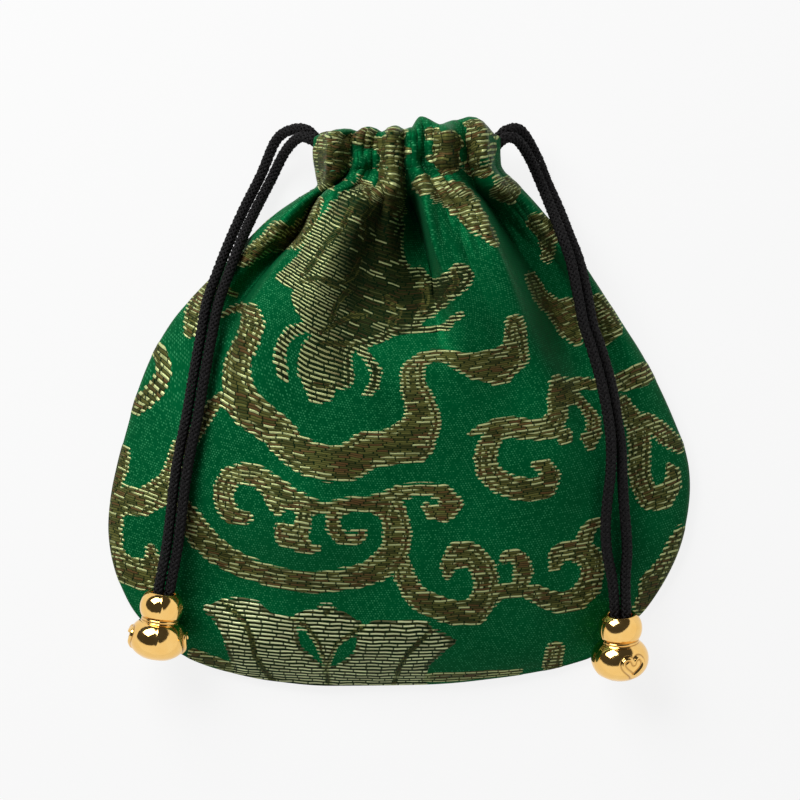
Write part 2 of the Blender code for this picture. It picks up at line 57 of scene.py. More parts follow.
# camera: straight above, a long lens, the mouth of the pouch upwards
shot = {
    "middle": (0.1, 0.7, 10.0),
    "frameWidth": 160.0,
    "lens": 200.0,
    "sensor": 36.0,
}

cameraData = bpy.data.cameras.new("above the pouch")
cameraData.lens = shot["lens"]
cameraData.sensor_width = shot["sensor"]
cameraHeight = shot["frameWidth"] * shot["lens"] / shot["sensor"]
camera = intoScene("above the pouch", cameraData)
camera.location = [value * mm for value in shot["middle"]]
camera.location.z += cameraHeight * mm
bpy.context.scene.camera = camera
print("camera ready")


# helpers for shader nodes
def setInput(tree, socket, value):
    if isinstance(value, bpy.types.NodeSocket):
        tree.links.new(value, socket)
    else:
        socket.default_value = value


def calc(tree, operation, *values):
    node = tree.nodes.new("ShaderNodeMath")
    node.operation = operation
    for socket, value in zip(node.inputs, values):
        setInput(tree, socket, value)
    return node.outputs[0]


def sums(tree):
    # plus, minus, times and over, for the nodes of one tree
    return [partial(calc, tree, name) for name in ("ADD", "SUBTRACT", "MULTIPLY", "DIVIDE")]


def smoothRamp(tree, value, low, high, first=0.0, last=1.0):
    node = tree.nodes.new("ShaderNodeMapRange")
    node.interpolation_type = "SMOOTHSTEP"
    for name, number in (("Value", value), ("From Min", low), ("From Max", high),
                         ("To Min", first), ("To Max", last)):
        setInput(tree, node.inputs[name], number)
    return node.outputs["Result"]


def blendColours(tree, factor, one, two, mode="MIX"):
    node = tree.nodes.new("ShaderNodeMix")
    node.data_type = "RGBA"
    node.blend_type = mode
    setInput(tree, node.inputs[0], factor)
    for socket, colour in ((node.inputs[6], one), (node.inputs[7], two)):
        plain = not isinstance(colour, bpy.types.NodeSocket)
        setInput(tree, socket, (*colour, 1) if plain else colour)
    return node.outputs[2]


def joinAxes(tree, x, y, z=0.0):
    node = tree.nodes.new("ShaderNodeCombineXYZ")
    for socket, value in zip(node.inputs, (x, y, z)):
        setInput(tree, socket, value)
    return node.outputs[0]


def cellRandom(tree, x, y):
    node = tree.nodes.new("ShaderNodeTexWhiteNoise")
    node.noise_dimensions = "2D"
    tree.links.new(joinAxes(tree, x, y), node.inputs["Vector"])
    return node.outputs["Value"]


def cloudNoise(tree, place, scale, detail=2.0, roughness=0.5):
    node = tree.nodes.new("ShaderNodeTexNoise")
    tree.links.new(place, node.inputs["Vector"])
    node.inputs["Scale"].default_value = scale
    node.inputs["Detail"].default_value = detail
    node.inputs["Roughness"].default_value = roughness
    return node.outputs["Fac"]


def newGroup(name, inputs, outputs):
    tree = bpy.data.node_groups.new(name, "ShaderNodeTree")
    for socketName, kind, value in inputs:
        socket = tree.interface.new_socket(socketName, in_out="INPUT", socket_type=kind)
        if value is not None:
            socket.default_value = value
    for socketName, kind in outputs:
        tree.interface.new_socket(socketName, in_out="OUTPUT", socket_type=kind)
    return tree, tree.nodes.new("NodeGroupInput"), tree.nodes.new("NodeGroupOutput")


def newMaterial(name):
    made = bpy.data.materials.new(name)
    made.use_nodes = True
    return made, made.node_tree, made.node_tree.nodes["Principled BSDF"]


def placeGroup(tree, group, **values):
    node = tree.nodes.new("ShaderNodeGroup")
    node.node_tree = group
    for name, value in values.items():
        setInput(tree, node.inputs[name], value)
    return node


def readAttribute(tree, name):
    node = tree.nodes.new("ShaderNodeAttribute")
    node.attribute_name = name
    return node


def bumpFrom(tree, height, strength=1.0, distance=mm):
    node = tree.nodes.new("ShaderNodeBump")
    node.inputs["Strength"].default_value = strength
    node.inputs["Distance"].default_value = distance
    tree.links.new(height, node.inputs["Height"])
    return node.outputs["Normal"]


# the brocade: a green satin ground with rows of gilt weft floats for the scrolls
weave = {
    "pairPitch": 0.86,  # one gilt row and one olive row
    "floatLength": 2.6,
    "floatStretch": (0.8, 0.45),  # the least, and what chance adds to it
    "floatEnds": 6.0,  # higher is squarer
    "rowSlide": (0.37, 0.8),  # from row to row, steady and by chance
    "rowWander": (0.2, 0.9),  # scale and size
    "cloud": 0.09,
    "chances": {"slide": 3.7, "stretch": 9.1, "tone": 41.5},
    "ragged": 0.4,  # how uneven the scroll's edge is
    "giltReach": (0.12, 0.26),  # olive rows stop short, gilt rows stand out
    "edge": 0.07,
    "rim": (-0.85, -0.6),  # depth in the scroll at which the bright rim fades
    "innerLine": (1.6, 0.42, 0.2),  # its depth, and where it ends and is full
    "innerLineBreaks": (0.42, 0.5),
    "strays": (0.86, 0.9, 0.0, 0.8),  # single bright floats well inside
    "glow": {"rim": 0.95, "line": 0.8, "petal": 0.62, "petalByChance": 0.45},
    "petalFrom": (0.3, 0.9),
    "reddish": (0.3, 0.1, 0.0, 0.75),
    "sunkRows": (0.12, 0.5, 0.0, 0.85),
    # painted shade over the flower's right part
    "flowerPaintedShade": [(0.12, 0.25), (0.6, 0.35, 0.0, 0.62)],
    "lotusFrom": (0.85, 0.95),
    "lotusEdge": (-1.0, -0.6),
    "lotusBrown": (0.25, 0.4, 0.0, 0.9),
    "veinFrom": (-0.2, -0.6, 0.0, 0.7),
    "veinRagged": 0.7,
    "gapAcross": (0.1, 0.75, 0.12, 1.0),
    "gapAlong": (0.25, 0.75, 0.06, 1.0),
    "dotPitch": 0.56,
    "dotRow": 0.8,
    "dotLean": 0.4,
    "dotSize": (0.42, 0.12),
    "dotByChance": (0.1, 1.0),
    "dotShare": 0.6,
    "roughness": (0.4, 0.12, 0.06),  # ground, by chance, less on the scrolls
    "satin": 0.2,
    "giltShine": (-0.08, 0.22),
    "rise": {"float": 0.05, "round": 0.05, "bright": 0.06, "dot": 0.015},
    "floatRound": (0.4, 0.6),
    "specular": 0.12,
    "specularTint": srgb(60, 200, 120),
    "sheen": 0.03,
    "sheenRoughness": 0.4,
    "sheenTint": srgb(120, 220, 160),
    "ground": srgb(0, 96, 52),
    "groundLit": srgb(70, 168, 112),
    "groundDark": srgb(0, 74, 38),
    "threadDark": srgb(62, 62, 32),
    "threadMid": srgb(108, 108, 56),
    "threadPale": srgb(206, 214, 150),
    "threadBright": srgb(236, 242, 186),
    "threadRed": srgb(104, 72, 46),
    # the colour between the rows: the ground there, made much darker than the ground as painted shade;
    # also used for the sunk rows
    "gap": srgb(4, 28, 14),
    "vein": srgb(34, 44, 22),
}

brocadeWeave, brocadeIn, brocadeOut = newGroup(
    "brocadeWeave",
    [
        ("Cloth", "NodeSocketVector", None),
        ("Motif", "NodeSocketFloat", 1.0),
        ("Pale", "NodeSocketFloat", 0.0),
        ("Pair Pitch", "NodeSocketFloat", 0.86),
        ("Float Length", "NodeSocketFloat", 3.0),
    ],
    [
        ("Color", "NodeSocketColor"),
        ("Roughness", "NodeSocketFloat"),
        ("Metallic", "NodeSocketFloat"),
        ("Height", "NodeSocketFloat"),
    ],
)


def buildBrocadeWeave(tree, given, result):
    plus, minus, times, over = sums(tree)
    ramp, blend = partial(smoothRamp, tree), partial(blendColours, tree)
    chances = weave["chances"]
    cloth, paleness = given.outputs["Cloth"], given.outputs["Pale"]
    split = tree.nodes.new("ShaderNodeSeparateXYZ")
    tree.links.new(cloth, split.inputs[0])
    u, v = split.outputs[0], split.outputs[1]
    slow = cloudNoise(tree, cloth, weave["cloud"])
    scale, size = weave["rowWander"]
    wander = times(minus(cloudNoise(tree, cloth, scale, 1), 0.5), size)

    # two wefts in turn, a gilt one and an olive one, laid like bricks along their rows
    rows = over(plus(v, wander), times(given.outputs["Pair Pitch"], 0.5))
    row = calc(tree, "FLOOR", rows)
    giltRow = minus(1.0, calc(tree, "FLOORED_MODULO", row, 2.0))
    within = calc(tree, "FRACT", rows)
    profile = times(times(within, minus(1.0, within)), 4.0)
    rowRandom = cellRandom(tree, row, chances["slide"])
    steady, byChance = weave["rowSlide"]
    slide = plus(times(row, steady), times(rowRandom, byChance))
    least, more = weave["floatStretch"]
    stretch = plus(least, times(cellRandom(tree, row, chances["stretch"]), more))
    floats = plus(over(u, times(given.outputs["Float Length"], stretch)), slide)
    cell = calc(tree, "FLOOR", floats)
    along = calc(tree, "FRACT", floats)
    centred = calc(tree, "ABSOLUTE", minus(times(along, 2.0), 1.0))
    ends = minus(1.0, calc(tree, "POWER", centred, weave["floatEnds"]))
    pick = cellRandom(tree, cell, row)
    pickTone = cellRandom(tree, plus(cell, chances["tone"]), row)

    # the scroll's edge is as ragged as the ends of its rows, and the gilt ends stand out
    ragged = times(minus(rowRandom, 0.5), weave["ragged"])
    short, reach = weave["giltReach"]
    standOut = minus(short, times(giltRow, reach))
    depth = plus(plus(given.outputs["Motif"], ragged), standOut)
    inside = ramp(depth, weave["edge"], -weave["edge"])
    rim = ramp(depth, *weave["rim"])
    lineDepth, lineEnd, lineFull = weave["innerLine"]
    lineAt = calc(tree, "ABSOLUTE", plus(depth, lineDepth))
    line = times(ramp(lineAt, lineEnd, lineFull), ramp(slow, *weave["innerLineBreaks"]))
    stray = ramp(pick, *weave["strays"])
    full = calc(tree, "MAXIMUM", paleness, 0.0)
    glow = weave["glow"]
    petals = times(ramp(full, *weave["petalFrom"]),
                   plus(glow["petal"], times(pick, glow["petalByChance"])))
    pale = calc(tree, "MAXIMUM", times(rim, glow["rim"]), times(line, glow["line"]))
    pale = calc(tree, "MAXIMUM", pale, calc(tree, "MAXIMUM", stray, petals))
    pale = times(pale, giltRow)

    # the colours of the threads: some redder, the flower's dark rows sunk, painted shade over the
    # flower's right part, the lotus edged
    thread = blend(pickTone, weave["threadDark"], weave["threadMid"])
    thread = blend(ramp(pick, *weave["reddish"]), thread, weave["threadRed"])
    sunk = times(minus(1.0, giltRow), ramp(full, *weave["sunkRows"]))
    thread = blend(sunk, thread, weave["gap"])
    # painted shade: the flower's least pale part, towards its right, is darkened towards the gap colour
    begins, fades = weave["flowerPaintedShade"]
    dim = times(ramp(full, *begins), ramp(full, *fades))
    thread = blend(dim, thread, weave["gap"])
    lotus = ramp(full, *weave["lotusFrom"])
    browned = times(lotus, ramp(depth, *weave["lotusEdge"]))
    browned = times(browned, ramp(pickTone, *weave["lotusBrown"]))
    pale = times(pale, minus(1.0, browned))
    thread = blend(browned, thread, weave["threadDark"])
    thread = blend(pale, thread, blend(lotus, weave["threadPale"], weave["threadBright"]))
    veinAt = plus(paleness, times(minus(pick, 0.5), weave["veinRagged"]))
    thread = blend(ramp(veinAt, *weave["veinFrom"]), thread, weave["vein"])
    # painted shade: each float darkens across its round towards the gaps between rows and towards its
    # ends
    shade = times(ramp(profile, *weave["gapAcross"]), ramp(ends, *weave["gapAlong"]))
    thread = blend(shade, weave["gap"], thread)

    # the satin ground: a lattice of small points where a warp thread catches the light
    dotRows = over(v, weave["dotPitch"] * weave["dotRow"])
    dotRow = calc(tree, "FLOOR", dotRows)
    dotSlide = plus(over(u, weave["dotPitch"]), times(dotRow, weave["dotLean"]))
    dotCell = calc(tree, "FLOOR", dotSlide)
    dotX = minus(calc(tree, "FRACT", dotSlide), 0.5)
    dotY = minus(calc(tree, "FRACT", dotRows), 0.5)
    away = calc(tree, "SQRT", plus(times(dotX, dotX), times(dotY, dotY)))
    warpPick = cellRandom(tree, dotCell, dotRow)
    dots = times(ramp(away, *weave["dotSize"]), ramp(warpPick, *weave["dotByChance"]))
    ground = blend(slow, weave["groundDark"], weave["ground"])
    ground = blend(times(dots, weave["dotShare"]), ground, weave["groundLit"])

    base, scatter, smoother = weave["roughness"]
    rough = minus(plus(base, times(warpPick, scatter)), times(inside, smoother))
    dull, bright = weave["giltShine"]
    shine = plus(weave["satin"], times(inside, plus(dull, times(pale, bright))))
    rise = weave["rise"]
    flat, curved = weave["floatRound"]
    rounded = times(profile, plus(flat, times(ends, curved)))
    swell = plus(rise["round"], times(pale, rise["bright"]))
    raised = times(inside, plus(rise["float"], times(rounded, swell)))
    for name, value in (("Color", blend(inside, ground, thread)), ("Roughness", rough),
                        ("Metallic", shine), ("Height", plus(raised, times(dots, rise["dot"])))):
        tree.links.new(value, result.inputs[name])


buildBrocadeWeave(brocadeWeave, brocadeIn, brocadeOut)


def makeBrocade(name):
    made, tree, shader = newMaterial(name)
    cloth = placeGroup(tree, brocadeWeave, **{
        "Cloth": readAttribute(tree, "cloth").outputs["Vector"],
        "Motif": readAttribute(tree, "motif").outputs["Fac"],
        "Pale": readAttribute(tree, "pale").outputs["Fac"],
        "Pair Pitch": weave["pairPitch"],
        "Float Length": weave["floatLength"],
    })
    tree.links.new(cloth.outputs["Color"], shader.inputs["Base Color"])
    tree.links.new(cloth.outputs["Roughness"], shader.inputs["Roughness"])
    tree.links.new(cloth.outputs["Metallic"], shader.inputs["Metallic"])
    tree.links.new(bumpFrom(tree, cloth.outputs["Height"]), shader.inputs["Normal"])
    shader.inputs["Specular IOR Level"].default_value = weave["specular"]
    shader.inputs["Specular Tint"].default_value = (*weave["specularTint"], 1)
    shader.inputs["Sheen Weight"].default_value = weave["sheen"]
    shader.inputs["Sheen Roughness"].default_value = weave["sheenRoughness"]
    shader.inputs["Sheen Tint"].default_value = (*weave["sheenTint"], 1)
    return made


brocade = makeBrocade("green brocade")
print("brocade ready")


# the scrolls of the brocade, drawn as strokes: x, y and half width on a grid of
# fifths of a millimetre, y downwards, its middle at drawing["middle"]
drawing = {"middle": (399.5, 403.5), "step": 0.2}

scrolls = [
    # the ribbon across the middle, and its tail
    [(222, 316, 2.5), (232, 310, 3.5), (244, 309, 5), (254, 314, 9), (255, 326, 12), (251, 340, 11),
     (245, 350, 12), (240, 361, 12.5), (238, 380, 14), (242, 399, 18), (252, 411, 18), (264, 419, 17),
     (278, 430, 17), (292, 447, 16), (310, 458, 17), (330, 464, 17), (350, 461, 18), (368, 449, 19),
     (390, 446, 18), (412, 439, 23), (424, 424, 17), (420, 404, 15), (413, 386, 12.5), (412, 372, 11),
     (420, 361, 7), (432, 356, 6), (444, 356, 6.5), (458, 361, 9), (476, 367, 14), (496, 366, 19),
     (512, 356, 15), (514, 338, 11), (513, 325, 9)],
    [(222, 398, 6), (212, 410, 7), (202, 424, 7), (194, 438, 7), (184, 448, 7)],
    # along the left side
    [(190, 440, 7), (180, 446, 7), (175, 460, 7), (172, 476, 9), (160, 493, 14), (142, 503, 14),
     (126, 500, 14), (114, 512, 10), (111, 532, 10), (114, 552, 9), (126, 572, 13), (142, 574, 17),
     (153, 562, 9), (150, 550, 5)],
    [(122, 452, 7), (120, 466, 9), (115, 482, 8), (113, 500, 8)],
    [(158, 350, 8), (164, 362, 8), (163, 378, 8), (155, 391, 9), (144, 401, 9), (136, 408, 8)],
    [(212, 285, 7), (200, 300, 9), (193, 316, 8), (192, 330, 7)],
    [(226, 288, 3), (234, 294, 3)],
    # the scroll left of the middle, with its small curls
    [(250, 516, 5), (243, 517, 7), (233, 514, 9), (226, 503, 10), (225, 490, 10), (231, 477, 10),
     (244, 472, 9), (258, 475, 10), (271, 484, 11), (284, 494, 12), (297, 500, 10), (310, 505, 8),
     (325, 507, 5), (340, 504, 5), (356, 501, 5.5), (372, 500, 6), (386, 498, 7), (400, 492, 8),
     (414, 488, 6), (430, 488, 6), (444, 492, 8), (452, 503, 10), (444, 512, 9), (432, 511, 7),
     (426, 506, 4)],
    [(275, 498, 9), (280, 510, 5)],
    [(306, 511, 7), (304, 524, 8), (296, 536, 11), (287, 534, 11), (284, 527, 7)],
    [(302, 541, 10), (310, 546, 6), (318, 546, 4)],
    [(334, 511, 6), (333, 524, 7), (340, 535, 7), (352, 540, 5), (361, 536, 5), (362, 530, 4),
     (355, 530, 3)],
    [(342, 510, 4), (354, 506, 4), (370, 506, 5), (384, 510, 7)],
    # the big arc under it
    [(184, 505, 8), (191, 520, 12), (200, 533, 14), (212, 546, 13), (226, 556, 13), (240, 564, 12),
     (256, 570, 11), (275, 576, 11), (295, 579, 11), (318, 581, 11), (338, 579, 11), (356, 576, 12),
     (374, 569, 13), (388, 558, 14), (397, 544, 14), (397, 528, 14), (394, 514, 13), (392, 503, 9)],
    # lower right
    [(402, 562, 9), (405, 576, 10), (412, 590, 11), (424, 600, 12), (440, 607, 12), (456, 612, 12),
     (474, 611, 13), (484, 596, 13), (486, 578, 12), (482, 564, 12), (470, 553, 13), (458, 552, 13),
     (449, 562, 9), (447, 573, 4)],
    [(503, 556, 5), (512, 552, 6), (520, 558, 8), (523, 570, 9), (520, 583, 9)],
    [(490, 594, 9), (500, 589, 8), (512, 589, 7), (524, 588, 7), (536, 592, 9), (548, 599, 10),
     (562, 602, 10), (577, 598, 11), (588, 586, 12), (592, 570, 12), (590, 558, 12), (582, 551, 12),
     (568, 549, 10), (556, 553, 9), (553, 566, 5)],
    [(583, 540, 9), (586, 530, 8), (591, 524, 6), (597, 522, 5)],
    # along the right side
    [(682, 532, 6), (674, 550, 9), (664, 568, 10), (652, 584, 12), (648, 598, 10), (640, 608, 6)],
    [(612, 386, 8), (628, 381, 11), (642, 376, 11), (655, 370, 9)],
    [(622, 402, 7), (630, 416, 9), (638, 430, 12), (639, 448, 11), (638, 466, 11), (641, 484, 11),
     (650, 499, 12), (663, 498, 12), (672, 486, 9), (674, 474, 7), (669, 467, 4)],
    [(645, 422, 9), (656, 428, 9), (667, 438, 9), (678, 446, 7)],
    [(598, 302, 8), (606, 316, 10), (612, 330, 10), (606, 340, 6)],
    [(530, 280, 8), (540, 298, 9), (556, 310, 12), (568, 326, 14), (576, 338, 8)],
    [(570, 312, 14), (584, 308, 12), (598, 304, 8)],
    [(500, 190, 8), (510, 192, 9)],
    [(535, 220, 8), (545, 228, 9), (550, 245, 8), (548, 256, 6)],
    # the open curl right of the middle
    [(470, 433, 3), (480, 428, 5), (494, 427, 9), (512, 427, 11), (530, 429, 10), (548, 428, 12),
     (556, 414, 10), (556, 398, 10), (555, 384, 8)],
    [(496, 430, 9), (488, 442, 10), (484, 456, 11), (487, 470, 11), (497, 480, 11), (512, 486, 11),
     (528, 489, 11), (543, 486, 11), (549, 475, 9), (544, 466, 7), (534, 464, 4)],
    [(562, 436, 8)],
    [(562, 398, 9), (574, 399, 6), (584, 408, 6), (592, 420, 7), (592, 434, 8), (588, 444, 6),
     (581, 436, 3)],
    [(562, 388, 8), (578, 384, 6), (594, 385, 5)],
    # the gathered neck
    [(334, 152, 16), (332, 172, 16), (328, 186, 8)], [(345, 145, 8)],
    [(356, 136, 5), (364, 133, 4), (374, 142, 4), (380, 152, 3)],
    [(396, 138, 8), (394, 152, 9), (393, 170, 10), (391, 190, 12), (388, 210, 16)],
    [(363, 186, 6), (370, 200, 12), (372, 215, 16)],
    [(424, 190, 8), (440, 195, 12), (455, 200, 14), (466, 212, 12), (476, 226, 9), (486, 238, 6),
     (493, 247, 3)],
    [(440, 140, 8), (446, 150, 13), (448, 168, 10)],
    [(490, 132, 8), (480, 132, 10), (475, 150, 10), (476, 168, 9)],
    [(242, 262, 5), (252, 253, 6), (264, 245, 7), (280, 236, 13), (295, 238, 14), (305, 228, 12),
     (312, 215, 10), (320, 206, 6)],
    # small bits at the bottom
    [(430, 678, 5), (460, 677, 5), (490, 674, 4), (520, 673, 3)],
    [(192, 655, 6), (210, 661, 6), (228, 668, 6)],
    [(556, 650, 9), (553, 664, 10)],
]

flowerOutline = [
    (340, 195), (330, 212), (322, 222), (314, 232), (306, 246), (300, 258), (290, 268), (277, 280),
    (285, 286), (296, 290), (294, 300), (298, 312), (306, 322), (312, 335), (304, 346), (300, 358),
    (300, 372), (302, 380), (308, 390), (312, 400), (322, 402), (332, 400), (338, 388), (350, 388),
    (356, 378), (352, 366), (352, 356), (356, 350), (366, 350), (376, 346), (386, 342), (394, 337),
    (406, 336), (420, 333), (422, 322), (434, 318), (444, 310), (452, 302), (462, 294), (470, 286),
    (472, 276), (466, 268), (455, 266), (447, 272), (440, 278), (430, 278), (424, 272), (418, 268),
    (410, 272), (404, 262), (400, 246), (402, 226), (398, 210), (396, 195),
]
flowerLeaves = [
    [(340, 215, 8), (352, 205, 10), (362, 190, 7)],
    [(306, 328, 5), (294, 331, 5), (285, 342, 5.5), (281, 357, 5.5), (284, 372, 5), (287, 379, 3)],
    [(362, 352, 4), (370, 360, 4), (377, 372, 5), (375, 385, 5), (367, 395, 3)],
    [(460, 315, 2.5), (447, 328, 3), (432, 332, 3), (420, 331, 3)],
]
flowerVeins = [
    [(352, 212, 1.5), (342, 232, 2), (328, 246, 2.5), (318, 262, 2.5), (306, 276, 2)],
    [(374, 205, 1.5), (360, 222, 2.2), (362, 240, 1.5)],
    [(300, 284, 1.8), (318, 280, 2.2), (336, 286, 2.5), (352, 276, 2.5), (358, 262, 2)],
    [(330, 322, 1.5), (336, 304, 2), (346, 292, 2.5)],
    [(322, 332, 1.5), (340, 322, 1.8), (352, 316, 2.2), (366, 318, 1.5)],
    [(318, 344, 1.2), (336, 344, 1.8), (352, 346, 1.8)],
    [(385, 300, 2), (398, 312, 2.5), (392, 326, 2.5)],
    [(422, 282, 1.8), (424, 300, 2.2), (422, 316, 2)],
    [(452, 272, 1.5), (456, 284, 2), (448, 296, 1.5)],
    [(310, 386, 1.2), (322, 384, 1.8), (336, 388, 1.2)],
]
lotusOutline = [
    (201, 609), (212, 604), (222, 600), (240, 599), (258, 602), (264, 607), (272, 612), (284, 615),
    (292, 618), (296, 613), (306, 610), (318, 609), (321, 603), (331, 603), (334, 608), (345, 612),
    (356, 618), (364, 625), (372, 622), (385, 619), (397, 619), (412, 618), (424, 620), (432, 627),
    (442, 632), (457, 641), (447, 648), (438, 656), (430, 664), (427, 672), (425, 692), (226, 692),
    (232, 668), (228, 655), (224, 640), (219, 628), (212, 618),
]
lotusWedges = [
    [(298, 626), (306, 630), (314, 642), (320, 655), (324, 666), (316, 660), (307, 652), (300, 645),
     (297, 634)],
    [(357, 634), (348, 638), (338, 646), (333, 655), (330, 666), (339, 663), (349, 657), (355, 650),
     (358, 641)],
]
lotusVeins = [
    [(222, 603, 1.2), (236, 614, 1.5), (246, 624, 1.7), (252, 640, 1.9), (255, 655, 1.9), (262, 668, 1.9),
     (274, 684, 1.9)],
    [(433, 627, 1.2), (420, 640, 1.7), (408, 652, 1.7), (400, 665, 1.7), (394, 684, 1.7)],
    [(294, 618, 1.2), (306, 624, 1.4), (317, 640, 1.4), (326, 668, 1.8), (328, 688, 1.8)],
    [(364, 626, 1.2), (350, 634, 1.4), (336, 644, 1.4), (328, 664, 1.6)],
    [(320, 608, 1), (327, 611, 1.2), (334, 608, 1)],
]


def gridToCloth(px, py):
    cx, cy = drawing["middle"]
    return (px - cx) * drawing["step"], (cy - py) * drawing["step"]


def outlineDistance(x, y, outline):
    # millimetres from each place to a closed outline, negative inside it
    corners = [gridToCloth(*point) for point in outline]
    nearest = np.full(x.shape, 1e3)
    within = np.zeros(x.shape, bool)
    for (ax, ay), (bx, by) in zip(corners, corners[1:] + corners[:1]):
        dx, dy = bx - ax, by - ay
        share = np.clip(((x - ax) * dx + (y - ay) * dy) / (dx * dx + dy * dy), 0, 1)
        nearest = np.minimum(nearest, np.hypot(x - ax - share * dx, y - ay - share * dy))
        if dy:
            crosses = ((ay > y) != (by > y)) & (x < ax + dx * (y - ay) / dy)
            within ^= crosses
    return np.where(within, -nearest, nearest)


def strokeDistance(x, y, strokes):
    # millimetres from each place to the nearest stroke's outline, negative inside it
    nearest = np.full(x.shape, 1e3)
    for stroke in strokes:
        points = [(*gridToCloth(px, py), r * drawing["step"]) for px, py, r in stroke]
        for (ax, ay, ar), (bx, by, br) in zip(points[:-1] or points, points[1:] or points):
            dx, dy = bx - ax, by - ay
            share = np.clip(((x - ax) * dx + (y - ay) * dy) / max(dx * dx + dy * dy, 1e-9), 0, 1)
            away = np.hypot(x - ax - share * dx, y - ay - share * dy) - (ar + (br - ar) * share)
            nearest = np.minimum(nearest, away)
    return nearest


# the pouch's shape, as the solids have it
pouch = {
    "cloth": 0.5,
    "seamGap": 0.02,
    "mouthGap": 4.5,
    "cordChannel": 2.7,
    "casingFold": 4.5,
    "slit": 2.6,
    "slitOpens": 1.2,  # in stations above the stitches
    "hemGap": 1.0,
    "backTopRise": 1.4,
    "backTopWave": 0.8,
    "hemInset": 6.4,
    "hemFlat": 0.68,
    "hemEnd": 0.65,
    "hemStops": 0.1,  # in stations above the stitches
    "frontColumns": (5, 3, 3, 4, 4, 3, 3, 3, 4, 3, 3, 5),
    "finerColumns": 5,
    "frontRows": 152,
    "backColumns": 132,
    "backRows": 96,
    "casingRows": 16,
    "turnRows": 10,
    "hemRows": 9,
    "stitchStation": 16.2,
    "backGathers": 6,
    "flatShare": 0.35,
    "topAtSides": 0.8,
    "sagFade": 2.2,
    "bodyRound": (2.3, 0.85),
    "mouthRound": 3.0,
    "backRound": (4, 0.6),
    "backEdge": 0.8,
    "foldsSpread": (-32.0, 6.0),
    "backFoldFade": (26.0, 45.0),
    "neckRounds": (30.0, 46.0),
}
neckValley = pouch["mouthGap"] / 2 + pouch["cloth"] + pouch["cordChannel"]
neckMiddle = neckValley + pouch["cloth"] + pouch["casingFold"]

sideStations = [
    (-50.9, -44.9, 46.1, -45.1), (-54.3, -40.1, 50.5, -39.7), (-57.1, -33.3, 54.1, -33.7),
    (-58.3, -26.3, 56.5, -27.9), (-57.9, -19.3, 57.9, -21.3), (-56.5, -12.3, 58.2, -15.3),
    (-54.5, -4.9, 57.3, -9.7), (-52.5, 2.1, 54.9, -3.3), (-49.5, 9.5, 51.9, 3.3),
    (-45.3, 16.5, 48.5, 9.7), (-40.5, 21.9, 44.9, 15.3), (-34.9, 27.5, 40.9, 21.3),
    (-29.5, 33.1, 36.6, 27.9), (-24.9, 37.4, 31.9, 33.7), (-20.1, 40.7, 27.9, 38.7),
    (-16.2, 43.2, 23.9, 43.0), (-16.2, 45.8, 20.4, 46.4), (-16.7, 49.0, 19.7, 49.2),
    (-16.7, 52.6, 19.7, 52.6),
]
bottomEdge = [
    (-50.9, -44.9), (-42.7, -51.1), (-34.3, -54.0), (-25.1, -55.8), (-13.9, -56.7), (4.5, -56.5),
    (20.9, -55.0), (37.5, -51.6), (46.1, -45.1),
]
seamHeights = [
    (-57.0, 1.1), (-45.0, 1.4), (-20.0, 2.0), (5.0, 2.8), (20.0, 4.2), (32.0, 6.4),
    (43.0, neckMiddle - 1.0), (46.5, neckMiddle), (58.0, neckMiddle),
]
frontCrown = [
    (-57.0, 0.0), (-54.0, 3.0), (-48.0, 7.2), (-38.0, 11.6), (-24.0, 15.0), (-6.0, 17.4),
    (10.0, 18.0), (24.0, 16.6), (34.0, 12.8), (43.0, 7.6), (46.5, neckValley), (58.0, neckValley),
]
